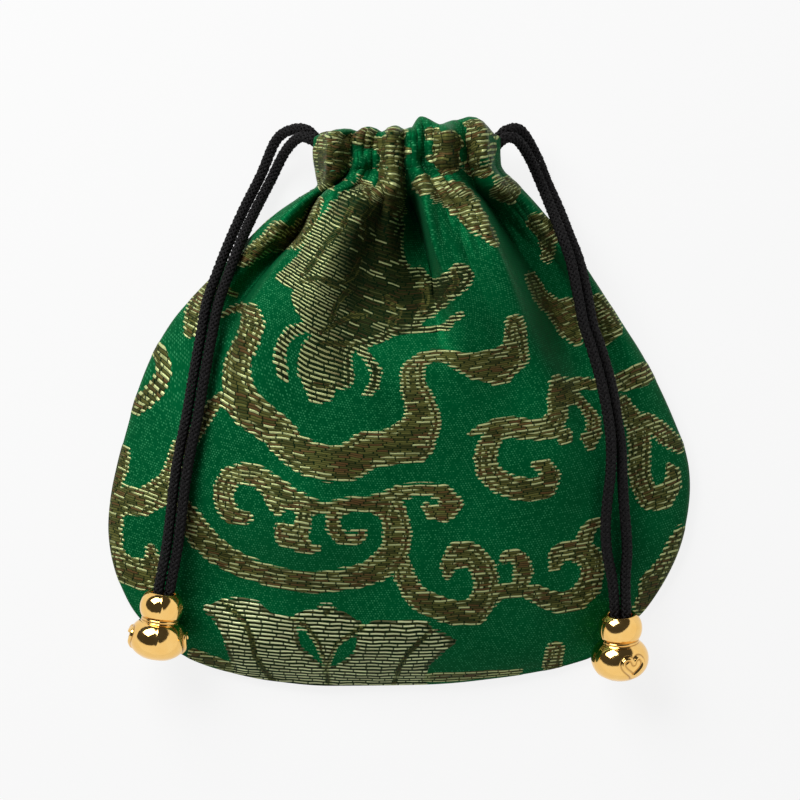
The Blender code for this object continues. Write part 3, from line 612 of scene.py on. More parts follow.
# each fold's rise over the casing's end, and its line as x, y and height over the panel,
# with sharper pleats than the solids have
frontFolds = [
    (1.4, [(-13.3, 48, 4.2), (-14.6, 44, 2.6), (-18.9, 41, 0.9), (-26.0, 32, 1.0),
           (-33.0, 24, 0.6), (-38.9, 14, 0.0), (-41.0, 3, -0.4), (-42.0, -9, 0.0)]),
    (1.0, [(-9.5, 48, 0.6), (-12.0, 44, -1.2), (-15.6, 41, -3.0), (-19.8, 32, -4.0),
           (-26.4, 24, -3.4), (-32.6, 14, -2.0), (-34.0, 3, -0.6), (-34.5, -9, 0.0)]),
    (2.0, [(-7.7, 48, 2.0), (-9.9, 44, 2.0), (-14.3, 41, 2.4), (-18.2, 32, 2.4),
           (-24.4, 24, 1.9), (-29.9, 14, 1.0), (-31.0, 3, 0.2)]),
    (1.0, [(-4.5, 48, 0.0), (-5.0, 44, 0.2), (-7.9, 40, 2.4), (-11.6, 32, 2.8),
           (-15.2, 24, 2.4), (-18.0, 14, 1.6), (-19.0, 3, 0.4)]),
    (2.1, [(-1.3, 48, 4.5), (-1.3, 44, 4.2), (-2.5, 40, 1.2), (-4.0, 32, -1.6),
           (-5.6, 24, -1.6), (-7.4, 14, -0.9), (-8.0, 3, 0.0)]),
    (1.5, [(0.9, 48, 0.6), (1.3, 44, -1.8), (2.9, 40, -4.9), (5.2, 32, -5.8),
           (6.7, 24, -3.8), (7.2, 14, -0.9), (8.0, 3, 0.0)]),
    (1.8, [(2.7, 48, 3.6), (4.5, 44, 3.0), (5.2, 40, 2.6), (7.0, 32, 2.6),
           (10.2, 24, 1.9), (13.6, 14, 0.8), (14.6, 3, 0.1)]),
    (4.0, [(4.9, 48, 1.2), (6.8, 44, 1.8), (9.6, 40, 2.2), (12.4, 32, 2.4),
           (15.3, 24, 2.1), (18.5, 14, 1.3), (20.5, 3, 0.3)]),
    (2.3, [(9.3, 48, 4.4), (11.0, 44, 3.6), (15.0, 40, 3.5), (18.3, 32, 3.8),
           (21.6, 24, 3.4), (25.2, 14, 2.4), (28.6, 3, 1.2), (31.0, -9, 0.3)]),
    (3.3, [(13.1, 48, 0.8), (14.4, 44, -2.4), (18.0, 40, -4.9), (24.0, 32, -5.8),
           (29.0, 24, -5.4), (33.4, 14, -3.8), (37.0, 3, -2.2), (39.5, -9, -0.9), (41.0, -20, 0.0)]),
    (3.9, [(16.9, 48, 4.0), (18.4, 44, 2.2), (23.2, 40, -2.2), (30.2, 32, -4.0),
           (35.4, 24, -4.0), (40.2, 14, -2.8), (44.0, 3, -1.4), (46.0, -9, -0.4)]),
]
# small wrinkles of the gathers: waves across, their size, drift along the pouch and start
wrinkles = {
    "deeper": 1.0,
    "deeperFrom": (2.0, 20.0),
    "casing": (41.0, 45.0),
    "gathered": (16.0, 44.0),
    "soft": (-56.0, -42.0),
    "foldEnds": 8,  # how fast each kind ends towards the sides
    "waveEnds": 6,
    "softEnds": 2.5,
    "waves": [(9.3, 0.35, 0.13, 0.4), (15.7, 0.28, -0.21, 2.1), (24.1, 0.2, 0.3, 4.0),
              (33.0, 0.1, -0.4, 1.0)],
    "pinch": 0.35,
    "pinchReach": 0.16,
    "twists": [(1.15, 0.9, 0.22, 0.5), (-0.8, 1.3, 0.2, 2.2), (0.35, -1.5, 0.16, 1.0)],
    # broad hollows of the body: middle x and y, reach across and along, depth
    "hollows": [(-42, 0, 9, 30, 2.6), (-32, -38, 20, 9, 2.4), (0, -36, 20, 7, 1.0),
                (22, 8, 7, 10, 1.2)],
    "buckles": [(0.12, 0.10, 0.55, 0.3), (-0.17, 0.13, 0.4, 2.0), (0.26, -0.08, 0.2, 4.4),
                (0.05, 0.2, 0.35, 1.2)],
}


def smoothTable(value, table, flatEnds=True):
    # a curve through the table's points that never overshoots them
    xs = np.array([row[0] for row in table], float)
    ys = np.array([row[-1] for row in table], float)
    if xs[0] > xs[-1]:
        xs, ys = xs[::-1], ys[::-1]
    step = np.diff(xs)
    slope = np.diff(ys) / step
    tangent = np.zeros(len(xs))
    for i in range(1, len(xs) - 1):
        if slope[i - 1] * slope[i] > 0:
            tangent[i] = 2 * slope[i - 1] * slope[i] / (slope[i - 1] + slope[i])
    if not flatEnds:
        tangent[0], tangent[-1] = slope[0], slope[-1]
    v = np.clip(value, xs[0], xs[-1])
    i = np.clip(np.searchsorted(xs, v, side="right") - 1, 0, len(step) - 1)
    u = (v - xs[i]) / step[i]
    return (ys[i] * (1 + 2 * u) * (1 - u) ** 2 + step[i] * tangent[i] * u * (1 - u) ** 2
            + ys[i + 1] * u * u * (3 - 2 * u) + step[i] * tangent[i + 1] * u * u * (u - 1))


def through(points, place):
    # the point at place, counted in points, on a smooth curve through them
    p = np.array(points, float)
    i = int(min(max(math.floor(place), 0), len(p) - 2))
    u = place - i
    before = p[i - 1] if i > 0 else 2 * p[i] - p[i + 1]
    after = p[i + 2] if i + 2 < len(p) else 2 * p[i + 1] - p[i]
    m0, m1 = (p[i + 1] - before) / 2, (after - p[i]) / 2
    return (p[i] * (1 + 2 * u) * (1 - u) ** 2 + m0 * u * (1 - u) ** 2
            + p[i + 1] * u * u * (3 - 2 * u) + m1 * u * u * (u - 1))


def ease(u):
    u = np.clip(u, 0, 1)
    return u * u * (3 - 2 * u)


def between(value, low, high):
    # 0 at low and 1 at high, eased at both ends
    return ease((value - low) / (high - low))


def unit(vectors):
    return vectors / np.maximum(np.linalg.norm(vectors, axis=-1, keepdims=True), 1e-9)


def reachAlong(points):
    # the length from the first point to each point of a line
    steps = np.linalg.norm(np.diff(points, axis=0), axis=1)
    return np.concatenate([[0], np.cumsum(steps)])


def pointsAt(at, reach, points):
    return np.stack([np.interp(at, reach, points[:, k]) for k in range(3)], axis=1)


def rowPlaces(first, last, rows, fineness=400):
    fine = np.linspace(first, last, fineness)
    reach = reachAlong(np.array([through(sideStations, f) for f in fine]))
    return np.interp(np.linspace(0, reach[-1], rows + 1), reach, fine)


def planY(x, place):
    leftX, leftY, rightX, rightY = through(sideStations, place)
    share = (x - leftX) / (rightX - leftX)
    cornerL, cornerR = bottomEdge[0], bottomEdge[-1]
    bottomX = cornerL[0] + (cornerR[0] - cornerL[0]) * share
    chordY = cornerL[1] + (cornerR[1] - cornerL[1]) * share
    sag = smoothTable(bottomX, bottomEdge, flatEnds=False) - chordY
    fade = max(0.0, 1 - place / pouch["stitchStation"])
    return leftY + (rightY - leftY) * share + sag * fade ** pouch["sagFade"]


def middleY(place):
    leftX, _, rightX, _ = through(sideStations, place)
    return planY((leftX + rightX) / 2, place)


def acrossOf(x, place):
    leftX, _, rightX, _ = through(sideStations, place)
    return np.clip(2 * (x - leftX) / (rightX - leftX) - 1, -1, 1)


def mouthOval(across):
    return np.sqrt(np.maximum(1 - np.abs(across) ** pouch["mouthRound"], 0))


def roundness(across, y):
    neck = between(y, *pouch["neckRounds"])
    steep, full = pouch["bodyRound"]
    body = (1 - np.abs(across) ** steep) ** full
    return body * (1 - neck) + mouthOval(across) * neck


def seamHeight(y, place, side):
    opened = ease((place - pouch["stitchStation"]) / pouch["slitOpens"])
    return smoothTable(y, seamHeights) + side * (pouch["seamGap"] / 2 + pouch["slit"] * opened)


def frontRow(place):
    # x, height of the folds and top rise at each column of a row of the front
    leftX, _, rightX, _ = through(sideStations, place)
    y = middleY(place)
    held = between(y, *pouch["foldsSpread"])
    total, columns = sum(pouch["frontColumns"]), 0
    lines = [(leftX, 0.0, pouch["topAtSides"])]
    for count, (top, points) in zip(pouch["frontColumns"], frontFolds):
        columns += count
        even = leftX + (rightX - leftX) * columns / total
        folded = smoothTable(y, [(p[1], p[0]) for p in points])
        height = smoothTable(y, [(p[1], p[2]) for p in points])
        lines.append((float(even + (folded - even) * held), float(height), top))
    lines = np.array(lines + [(rightX, 0.0, pouch["topAtSides"])])
    parts = []
    for count, low, high in zip(pouch["frontColumns"], lines, lines[1:]):
        u = np.arange(count * pouch["finerColumns"]) / (count * pouch["finerColumns"])
        shares = np.stack([u, ease(u), ease(u)], axis=1)  # x runs evenly, the heights are eased
        parts.append(low + (high - low) * shares)
    return np.concatenate(parts + [lines[-1:]]).T


def frontOuter(place):
    x, folds, top = frontRow(place)
    y, across, rowY = planY(x, place), acrossOf(x, place), middleY(place)
    seam = seamHeight(y, place, 1)
    level = smoothTable(rowY, seamHeights)
    crown = max(smoothTable(rowY, frontCrown) - (seam[0] - level), 0)
    inCasing = between(rowY, *wrinkles["casing"])
    foldEnds, waveEnds, softEnds = (np.minimum(1, wrinkles[ends] * (1 - np.abs(across)))
                                    for ends in ("foldEnds", "waveEnds", "softEnds"))
    deeper = 1 + wrinkles["deeper"] * between(rowY, *wrinkles["deeperFrom"]) * (1 - inCasing)
    lift = folds * deeper * foldEnds
    share = np.linspace(0, 1, len(x))
    gathered = between(rowY, *wrinkles["gathered"])
    for cycles, size, drift, begin in wrinkles["waves"]:
        wave = np.sin(2 * math.pi * cycles * share + drift * rowY + begin)
        lift = lift + size * gathered * wave * waveEnds
    soft = between(rowY, *wrinkles["soft"]) * softEnds
    for alongX, alongY, size, begin in wrinkles["buckles"]:
        lift = lift + size * soft * np.sin(alongX * x + alongY * rowY + begin)
    for alongX, alongY, size, begin in wrinkles["twists"]:
        twist = 1 + np.sin(alongX * x + alongY * y + begin)
        lift = lift + size * inCasing * twist * waveEnds
    for middleX, middleRow, reachX, reachY, depth in wrinkles["hollows"]:
        away = ((x - middleX) / reachX) ** 2 + ((rowY - middleRow) / reachY) ** 2
        lift = lift - depth * soft * np.exp(-away)
    pinch = math.exp(-((place - pouch["stitchStation"]) / wrinkles["pinchReach"]) ** 2)
    lift = lift - wrinkles["pinch"] * pinch * waveEnds
    return np.stack([x, y, seam + crown * roundness(across, rowY) + lift], axis=1), top


def backOuter(place):
    across = np.linspace(-1, 1, pouch["backColumns"] + 1)
    leftX, _, rightX, _ = through(sideStations, place)
    rowY = middleY(place)
    x = leftX + (rightX - leftX) * (across + 1) / 2
    y = planY(x, place)
    seam = seamHeight(y, place, -1)
    wave = 0.5 + 0.5 * np.cos(math.pi * pouch["backGathers"] * (across + 1))
    floor = pouch["cloth"] + between(rowY, *pouch["backFoldFade"]) * pouch["casingFold"] * wave
    beyond = np.maximum(np.abs(across) - pouch["flatShare"], 0) / (1 - pouch["flatShare"])
    steep, full = pouch["backRound"]
    flat = (1 - beyond ** steep) ** full
    edge = ease(place / pouch["backEdge"])
    top = pouch["backTopRise"] + pouch["backTopWave"] * (1 - wave)
    return np.stack([x, y, seam + (floor - seam) * flat * edge], axis=1), top


def panelRows(outer, side, bodyRows):
    last = len(sideStations) - 1
    body = rowPlaces(0, pouch["stitchStation"], bodyRows)
    casing = np.linspace(pouch["stitchStation"], last, pouch["casingRows"] + 1)[1:]
    rows = [outer(place)[0] for place in [*body, *casing]]
    top = outer(last)[1]
    hem = []
    for k in range(pouch["hemRows"] + 1):
        down = k / pouch["hemRows"]
        place = last + (pouch["stitchStation"] + pouch["hemStops"] - last) * down
        x, y, z = outer(place)[0].T
        middle, half = (x[0] + x[-1]) / 2, (x[-1] - x[0]) / 2
        narrow = middle + (x - middle) * (half - pouch["hemInset"]) / half
        oval = mouthOval(acrossOf(x, place))
        reach = pouch["hemEnd"] + (pouch["mouthGap"] / 2 + pouch["cloth"] - pouch["hemEnd"]) * oval
        stitched = np.interp(narrow, x, z) - side * pouch["hemGap"]
        level = neckMiddle + side * reach
        meet = between(down, pouch["hemFlat"], 1)
        hem.append(np.stack([narrow, y, level + (stitched - level) * meet], axis=1))
    turn = []
    for k in range(1, pouch["turnRows"]):
        angle = math.pi * k / pouch["turnRows"]
        share = (1 - math.cos(angle)) / 2
        turned = rows[-1] * (1 - share) + hem[0] * share
        turned[:, 1] += top * math.sin(angle)
        turn.append(turned)
    return np.array(rows + turn + hem), len(rows)


# how the cloth runs over the shape: woven rows that sag, and the scrolls on it
clothRun = {
    "sagAt": (-50.0, 0.0, 15.0, 40.0),
    "sag": (0.003, 0.0075, 0.012, 0.014),
    "tilt": 0.34,
    "tiltFrom": (-24.0, 0.0),
    "tiltMiddle": -9.0,
    "pulledFrom": (-10.0, 20.0),
    "pulledTo": (36.0, 56.0),
    "raise": 0.12,
    "raiseEdge": (0.3, -0.4),
}
# how the print changes where the cloth is gathered, and how pale its parts are: the flower has painted
# light on its left and painted shade on its right
motifs = {
    "tatteredFrom": (34.0, 40.0),
    "tatteredTo": 24.0,
    "tatter": 0.55,
    "tatterWaves": [(1.9, 0.7, 0.0), (-0.9, 1.4, 0.0)],
    "twistedFrom": (42.0, 46.0),
    "twist": (0.5, 1.1),
    "twistWaves": [(0.9, 0.5, 0.6), (-0.55, 0.8, 0.0)],
    "flower": (0.32, 0.5),  # least, and more towards its left: painted light on the flower's left, painted shade on its right
    # where the flower's painted light begins and where it is full, as x
    "flowerPaintedLight": (-8.0, -17.0),
    "lotus": 1.0,
    "scroll": 0.1,
    "veinEdge": (0.2, -0.3),
}


def patches(x, y, waves):
    # two waves that cross, for spots of uneven shape
    (ax, ay, aStart), (bx, by, bStart) = waves
    return np.sin(ax * x + ay * y + aStart) * np.sin(bx * x + by * y + bStart)


def clothPlaces(grid, outerRows):
    # u and v in the cloth, and plan x and y for the scrolls, at each point of the grid
    x, y = grid[:, :, 0].copy(), grid[:, :, 1].copy()
    middle = grid.shape[1] // 2
    steps = np.linalg.norm(np.diff(grid, axis=1), axis=2)
    reach = np.concatenate([np.zeros((len(grid), 1)), np.cumsum(steps, axis=1)], axis=1)
    zero = np.array([np.interp(0.0, row, r) for row, r in zip(x, reach)])
    u = reach - zero[:, None]
    beyond = np.linalg.norm(np.diff(grid[outerRows - 1:], axis=0), axis=2)
    y[outerRows:] = y[outerRows - 1] + np.cumsum(beyond, axis=0)
    x[outerRows:] = x[outerRows - 1]
    rise = reachAlong(grid[:outerRows, middle])
    level = y[:outerRows, middle]
    straight = y - 0.5 * np.interp(y, clothRun["sagAt"], clothRun["sag"]) * x**2
    pulled = between(y, *clothRun["pulledFrom"]) * (1 - between(y, *clothRun["pulledTo"]))
    beside = np.clip(x, *clothRun["tiltFrom"]) - clothRun["tiltMiddle"]
    straight = straight + clothRun["tilt"] * pulled * beside
    v = np.interp(straight, level, rise)
    v = np.where(straight > level[-1], rise[-1] + straight - level[-1], v)
    v = np.where(straight < level[0], straight - level[0], v)
    return u, v, x, y


def drawMotifs(x, y):
    # depth in the print, and how pale it is there: negative along the veins
    scroll = strokeDistance(x, y, scrolls)
    bloom = np.minimum(outlineDistance(x, y, flowerOutline), strokeDistance(x, y, flowerLeaves))
    petal = outlineDistance(x, y, lotusOutline)
    for wedge in lotusWedges:
        petal = np.maximum(petal, -outlineDistance(x, y, wedge))
    motif = np.minimum(np.minimum(scroll, bloom), petal)
    tattered = between(y, *motifs["tatteredFrom"]) * (x < motifs["tatteredTo"])
    motif = motif + motifs["tatter"] * tattered * patches(x, y, motifs["tatterWaves"])
    wider, uneven = motifs["twist"]
    twisted = between(y, *motifs["twistedFrom"])
    motif = motif - twisted * (wider + uneven * patches(x, y, motifs["twistWaves"]))
    # the flower's paleness rises towards its left: painted light there, painted shade towards its right
    least, more = motifs["flower"]
    flower = least + more * between(x, *motifs["flowerPaintedLight"])
    pale = np.where(petal < np.minimum(scroll, bloom), motifs["lotus"],
                    np.where(bloom < scroll, flower, motifs["scroll"]))
    veins = np.minimum(strokeDistance(x, y, flowerVeins), strokeDistance(x, y, lotusVeins))
    return motif, pale - (pale + 1.0) * between(veins, *motifs["veinEdge"])


def makePanel(name, outer, side, bodyRows):
    grid, outerRows = panelRows(outer, side, bodyRows)
    u, v, printX, printY = clothPlaces(grid, outerRows)
    motif, pale = drawMotifs(printX * side, printY)
    normal = unit(np.cross(np.gradient(grid, axis=1), np.gradient(grid, axis=0)))
    thick = clothRun["raise"] * between(motif, *clothRun["raiseEdge"])
    lifted = grid + side * normal * thick[:, :, None]

    rows, columns = grid.shape[:2]
    index = np.arange(rows * columns).reshape(rows, columns)
    faces = np.stack([index[:-1, :-1], index[:-1, 1:], index[1:, 1:], index[1:, :-1]], axis=2)
    faces = faces.reshape(-1, 4)[:, ::side]
    mesh = bpy.data.meshes.new(name)
    mesh.from_pydata((lifted.reshape(-1, 3) * mm).tolist(), [], faces.tolist())
    for label, kind, field, values in (
        ("cloth", "FLOAT_VECTOR", "vector", np.stack([u, v, u * 0], axis=2)),
        ("motif", "FLOAT", "value", motif),
        ("pale", "FLOAT", "value", pale),
    ):
        layer = mesh.attributes.new(label, kind, "POINT")
        layer.data.foreach_set(field, values.astype(np.float32).ravel())
    mesh.materials.append(brocade)
    mesh.shade_smooth()
    obj = intoScene(name, mesh)
    shell = obj.modifiers.new("thickness of the cloth", "SOLIDIFY")
    shell.thickness = pouch["cloth"] * mm
    shell.offset = 1
    area = sum(face.area for face in mesh.polygons)
    print(name, "ready, one layer", round(area * 1e4, 1), "square cm")
    return obj


frontCloth = makePanel("front_cloth", frontOuter, 1, pouch["frontRows"])
backCloth = makePanel("back_cloth", backOuter, -1, pouch["backRows"])
for clothPiece, node in ((frontCloth, "front_panel"), (backCloth, "back_panel")):
    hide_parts(node)
    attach(clothPiece, rootBody)


# the drawcords: a braid of flat yarns on the routes that the solids have
cord = {
    "length": {"left": 0.3079, "right": 0.3124},
    "diameter": 2.1,
    "yarns": 6,
    "twist": 6.4,  # length of one turn of a yarn
    "ring": 0.9,
    "weaveDepth": 0.13,
    "yarnWidth": 0.31,
    "yarnDepth": 0.17,
    "yarnCorners": 4,
    "step": 0.42,
    "declaredStep": 2.0,
    "black": srgb(6, 5, 6),
    "fluff": srgb(22, 19, 20),
    "fluffScale": 2600.0,
    "roughness": (0.55, 0.75),
    "specular": 0.2,
    "bump": (0.5, 0.1 * mm),
}
leftCord = [
    (-47.6, -50.1, 9.5), (-47.3, -48.0, 9.8), (-46.7, -43.0, 10.6), (-46.1, -38.6, 11.3),
    (-45.4, -34.6, 11.0), (-44.4, -29.2, 11.0), (-43.7, -24.2, 11.8), (-42.7, -15.9, 12.7),
    (-41.6, -9.3, 13.2), (-40.2, -2.7, 13.7), (-39.0, 4.5, 13.9), (-37.6, 12.3, 13.3),
    (-36.2, 19.6, 12.1), (-34.4, 25.1, 11.1), (-32.2, 31.3, 9.1), (-29.3, 38.2, 4.9),
    (-26.0, 44.9, 2.6), (-23.0, 50.6, 5.2), (-20.1, 53.2, 9.5), (-17.6, 52.7, 11.4),
    (-15.5, 51.2, 11.9), (-13.2, 49.7, 13.0), (-10.4, 49.6, 14.0), (-6.0, 49.6, 14.45),
    (1.5, 49.6, 14.6), (7.4, 49.6, 14.5), (11.4, 49.6, 14.2), (14.3, 49.6, 13.1),
    (15.3, 49.6, 10.45), (14.3, 49.6, 7.8), (11.4, 49.6, 6.7), (7.4, 49.6, 6.4),
    (1.5, 49.6, 6.3), (-6.0, 49.6, 6.45), (-10.4, 49.6, 6.9), (-13.2, 49.7, 7.9),
    (-15.5, 51.4, 9.3), (-18.1, 54.5, 8.7), (-21.2, 55.1, 6.2), (-24.8, 53.1, 3.2),
    (-28.0, 46.0, 1.7), (-31.4, 39.0, 3.7), (-34.3, 32.1, 6.6), (-36.6, 25.9, 9.0),
    (-38.5, 20.2, 10.6), (-39.8, 12.7, 12.1), (-41.2, 4.7, 12.8), (-42.4, -2.3, 12.7),
    (-43.8, -8.9, 12.2), (-44.9, -15.5, 11.8), (-45.9, -24.0, 11.0), (-46.6, -29.0, 10.6),
    (-47.6, -34.4, 10.9), (-48.3, -38.4, 11.3), (-48.9, -42.8, 10.6), (-49.5, -47.8, 9.8),
    (-49.8, -49.9, 9.5),
]
rightCord = [
    (43.1, -53.9, 6.45), (43.1, -51.5, 7.2), (43.1, -47.0, 8.7), (43.1, -42.6, 10.1),
    (42.9, -38.8, 10.6), (42.4, -34.6, 10.9), (41.5, -30.1, 11.6), (41.1, -24.9, 12.7),
    (41.4, -19.5, 13.6), (42.0, -14.1, 14.4), (42.1, -9.0, 14.8), (41.7, -4.1, 14.8),
    (40.3, 3.6, 14.4), (38.2, 11.1, 14.4), (36.7, 15.6, 14.4), (35.4, 22.4, 13.1),
    (34.2, 28.3, 11.7), (32.5, 33.4, 10.6), (30.5, 39.0, 6.6), (28.5, 44.2, 4.0),
    (26.2, 49.2, 5.4), (23.7, 52.6, 9.0), (21.4, 53.1, 11.3), (19.2, 51.5, 12.0),
    (17.4, 51.2, 12.3), (15.4, 51.5, 12.9), (12.4, 51.9, 13.9), (8.5, 51.9, 14.4),
    (1.5, 51.9, 14.6), (-5.0, 51.9, 14.5), (-8.9, 51.9, 14.2), (-11.9, 51.9, 13.1),
    (-12.9, 51.9, 10.45), (-11.9, 51.9, 7.8), (-8.9, 51.9, 6.7), (-5.0, 51.9, 6.4),
    (1.5, 51.9, 6.3), (8.5, 51.9, 6.5), (12.4, 51.9, 7.0), (15.4, 51.7, 8.0),
    (17.4, 51.6, 9.1), (19.3, 52.7, 9.6), (21.4, 54.7, 8.8), (24.4, 54.8, 6.3),
    (27.6, 49.9, 2.9), (29.8, 44.6, 1.7), (32.0, 39.5, 3.6), (34.0, 33.9, 7.4),
    (35.9, 28.7, 9.6), (37.3, 22.6, 11.3), (38.5, 15.8, 12.8), (40.0, 11.5, 12.8),
    (42.2, 3.8, 12.9), (43.5, -4.0, 13.2), (44.2, -9.0, 13.2), (44.4, -14.1, 13.1),
    (44.7, -19.5, 12.4), (45.2, -24.7, 11.3), (45.5, -29.7, 10.2), (45.2, -34.3, 9.8),
    (45.2, -38.6, 10.0), (45.3, -42.4, 10.1), (45.3, -47.0, 8.7), (45.3, -51.5, 7.2),
    (45.3, -53.9, 6.45),
]


def makeBraidMaterial():
    made, tree, shader = newMaterial("black braid")
    coords = tree.nodes.new("ShaderNodeTexCoord")
    fluff = cloudNoise(tree, coords.outputs["Object"], cord["fluffScale"], 3)
    tone = blendColours(tree, smoothRamp(tree, fluff, 0.4, 0.7), cord["black"], cord["fluff"])
    tree.links.new(tone, shader.inputs["Base Color"])
    tree.links.new(smoothRamp(tree, fluff, 0.3, 0.7, *cord["roughness"]), shader.inputs["Roughness"])
    tree.links.new(bumpFrom(tree, fluff, *cord["bump"]), shader.inputs["Normal"])
    shader.inputs["Specular IOR Level"].default_value = cord["specular"]
    return made


blackBraid = makeBraidMaterial()


def alongCurve(points, spacing, fineness=4000):
    fine = np.array([through(points, f) for f in np.linspace(0, len(points) - 1, fineness)])
    reach = reachAlong(fine)
    at = np.linspace(0, reach[-1], round(reach[-1] / spacing) + 1)
    return pointsAt(at, reach, fine), at


def sidesOf(line):
    # two side directions that are carried along a line without twisting
    tangent = unit(np.gradient(line, axis=0))
    side = np.zeros_like(line)
    side[0] = unit(np.cross(tangent[0], (0.0, 0.0, 1.0)))
    for i in range(1, len(line)):
        side[i] = unit(side[i - 1] - tangent[i] * np.dot(side[i - 1], tangent[i]))
    return side, np.cross(tangent, side)


def tubes(name, lines, outward, width, depth, corners, material):
    # closed tubes along lines, flattened against the outward directions
    vertices, faces = [], []
    angles = 2 * math.pi * np.arange(corners) / corners
    for line, out in zip(lines, outward):
        tangent = unit(np.gradient(line, axis=0))
        flat = unit(np.cross(tangent, out))
        up = np.cross(flat, tangent)
        base = sum(len(v) for v in vertices)
        ring = (line[:, None] + flat[:, None] * (np.cos(angles) * width)[None, :, None]
                + up[:, None] * (np.sin(angles) * depth)[None, :, None])
        vertices.append(ring.reshape(-1, 3))
        index = base + np.arange(len(line) * corners).reshape(len(line), corners)
        turned = np.roll(index, -1, axis=1)
        quads = np.stack([index[:-1], turned[:-1], turned[1:], index[1:]], axis=2)
        faces += quads.reshape(-1, 4).tolist()
        faces += [index[0, ::-1].tolist(), index[-1].tolist()]
    mesh = bpy.data.meshes.new(name)
    mesh.from_pydata((np.concatenate(vertices) * mm).tolist(), [], faces)
    mesh.materials.append(material)
    mesh.shade_smooth()
    return intoScene(name, mesh)


def makeCord(name, points):
    line, at = alongCurve(points, cord["step"])
    side, other = sidesOf(line)
    turn = 2 * math.pi / cord["twist"]
    lines, outward = [], []
    for way in (1, -1):
        ring = cord["ring"] + way * cord["weaveDepth"] * np.cos(cord["yarns"] * turn * at)
        for k in range(cord["yarns"]):
            angle = 2 * math.pi * k / cord["yarns"] + way * turn * at
            out = side * np.cos(angle)[:, None] + other * np.sin(angle)[:, None]
            lines.append(line + out * ring[:, None])
            outward.append(out)
    obj = tubes(name, lines, outward, cord["yarnWidth"], cord["yarnDepth"], cord["yarnCorners"],
                blackBraid)
    path, _ = alongCurve(points, cord["declaredStep"])
    return obj, path


cordLeft, pathLeft = makeCord("braid_left", leftCord)
cordRight, pathRight = makeCord("braid_right", rightCord)
print("cords ready")


# the gourd beads: gilt, two balls each, with a raised heart on two sides
bead = {
    "turns": 200,
    "arcSteps": (60, 40),
    "neckSteps": 7,
    "bore": 2.45,
    "recess": 2.9,
    "recessDepth": 3.2,
    "foot": 3.3,
    "footLevel": 0.45,
    "lower": (4.3, 5.8, 4.2),
    "lowerArc": (-62, 55),
    "upper": (10.75, 4.4, 3.4),
    "upperArc": (-40, 55),
    "top": 13.75,
    "heartSize": 2.3,
    "heartWire": 0.3,
    "heartRise": 0.4,
    "heartEdge": (1.25, 0.9),
    "heartPoints": 241,
    "trenchAt": 0.5,
    "trench": 0.1,
    "neck": [(3.82, 7.95), (3.8, 8.3)],
    "barrel": (0.72, 0.6),  # below 1 squares a ball's side, lower and upper
    "groove": 0.1,
    "grooves": (7.95, 8.5),
    "grooveWidth": 0.13,
    "mouldLine": 0.07,
    "mouldWidth": 0.18,
    # how much darker brown the colour turns in the trench round each heart and in the waist grooves
    "grooveDarkening": {"heart": 0.8, "waist": 0.6},
    "gold": srgb(236, 184, 98),
    "paleGold": srgb(250, 210, 134),
    "grooveDarkColour": srgb(120, 72, 26),
    "polish": (0.05, 0.13),
    "cloud": 420.0,
    "fine": 2400.0,
    "fineShare": 0.1,
    "bump": (0.2, 0.2 * mm),
}
beadLeft = {"low": (-48.3, -46.9, 9.95), "high": (-47.5, -40.7, 11.0), "turn": -88.0}
beadRight = {"low": (44.2, -51.0, 7.35), "high": (44.2, -45.0, 9.3), "turn": 27.0}
knot = {
    "size": 0.52,
    "level": 1.45,
    "rise": 0.62,
    "width": 0.62,
    "depth": 0.55,
    "corners": 8,
    "points": 90,
}


def makeGiltMaterial():
    made, tree, shader = newMaterial("gold plating")
    plus, _, times, _ = sums(tree)
    coords = tree.nodes.new("ShaderNodeTexCoord")
    cloud = cloudNoise(tree, coords.outputs["Object"], bead["cloud"], 4, 0.6)
    fine = cloudNoise(tree, coords.outputs["Object"], bead["fine"], 2)
    tone = blendColours(tree, cloud, bead["gold"], bead["paleGold"])
    # darker brown where the waist grooves and the trench round each heart are marked
    tone = blendColours(tree, readAttribute(tree, "grooveDarkening").outputs["Fac"], tone, bead["grooveDarkColour"])
    tree.links.new(tone, shader.inputs["Base Color"])
    tree.links.new(smoothRamp(tree, cloud, 0.3, 0.7, *bead["polish"]), shader.inputs["Roughness"])
    uneven = plus(cloud, times(fine, bead["fineShare"]))
    tree.links.new(bumpFrom(tree, uneven, *bead["bump"]), shader.inputs["Normal"])
    shader.inputs["Metallic"].default_value = 1.0
    return made


gilt = makeGiltMaterial()


def ballArc(ball, arc, steps, barrel):
    middle, radius, half = ball
    angles = np.radians(np.linspace(arc[0], arc[1], steps + 1))
    return list(zip(radius * np.cos(angles) ** barrel, middle + half * np.sin(angles)))


def beadProfile():
    # radius and height: down the bore, then up the outside, close points throughout
    bore, recess, foot, ground, top = (bead[name] for name in
                                       ("bore", "recess", "foot", "footLevel", "top"))
    lower, upper = (ballArc(bead[ball], bead[ball + "Arc"], steps, barrel) for ball, steps, barrel
                    in zip(("lower", "upper"), bead["arcSteps"], bead["barrel"]))
    inner = [(bore, top - 0.35), (bore, 8.0), (bore, bead["recessDepth"] + 0.5),
             (recess, bead["recessDepth"]), (recess, ground + 0.25),
             (recess + 0.08, ground + 0.05), (recess + 0.16, ground),
             (foot - 0.15, ground), (foot - 0.02, ground + 0.05)]
    corners = np.array([lower[-1], *bead["neck"], upper[0]])
    neck = [start + (end - start) * share for start, end in zip(corners, corners[1:])
            for share in np.linspace(0, 1, bead["neckSteps"] + 1)[:-1]][1:]
    lip = [(bore + 0.55, top - 0.03), (bore + 0.38, top), (bore + 0.2, top - 0.05),
           (bore + 0.05, top - 0.18)]
    return np.array([*inner, *lower, *neck, *upper, *lip]), len(inner)


def heartLine():
    t = np.linspace(0, 2 * math.pi, bead["heartPoints"])
    up = (13 * np.cos(t) - 5 * np.cos(2 * t) - 2 * np.cos(3 * t) - np.cos(4 * t)) / 16
    return np.stack([np.sin(t) ** 3, up], axis=1)


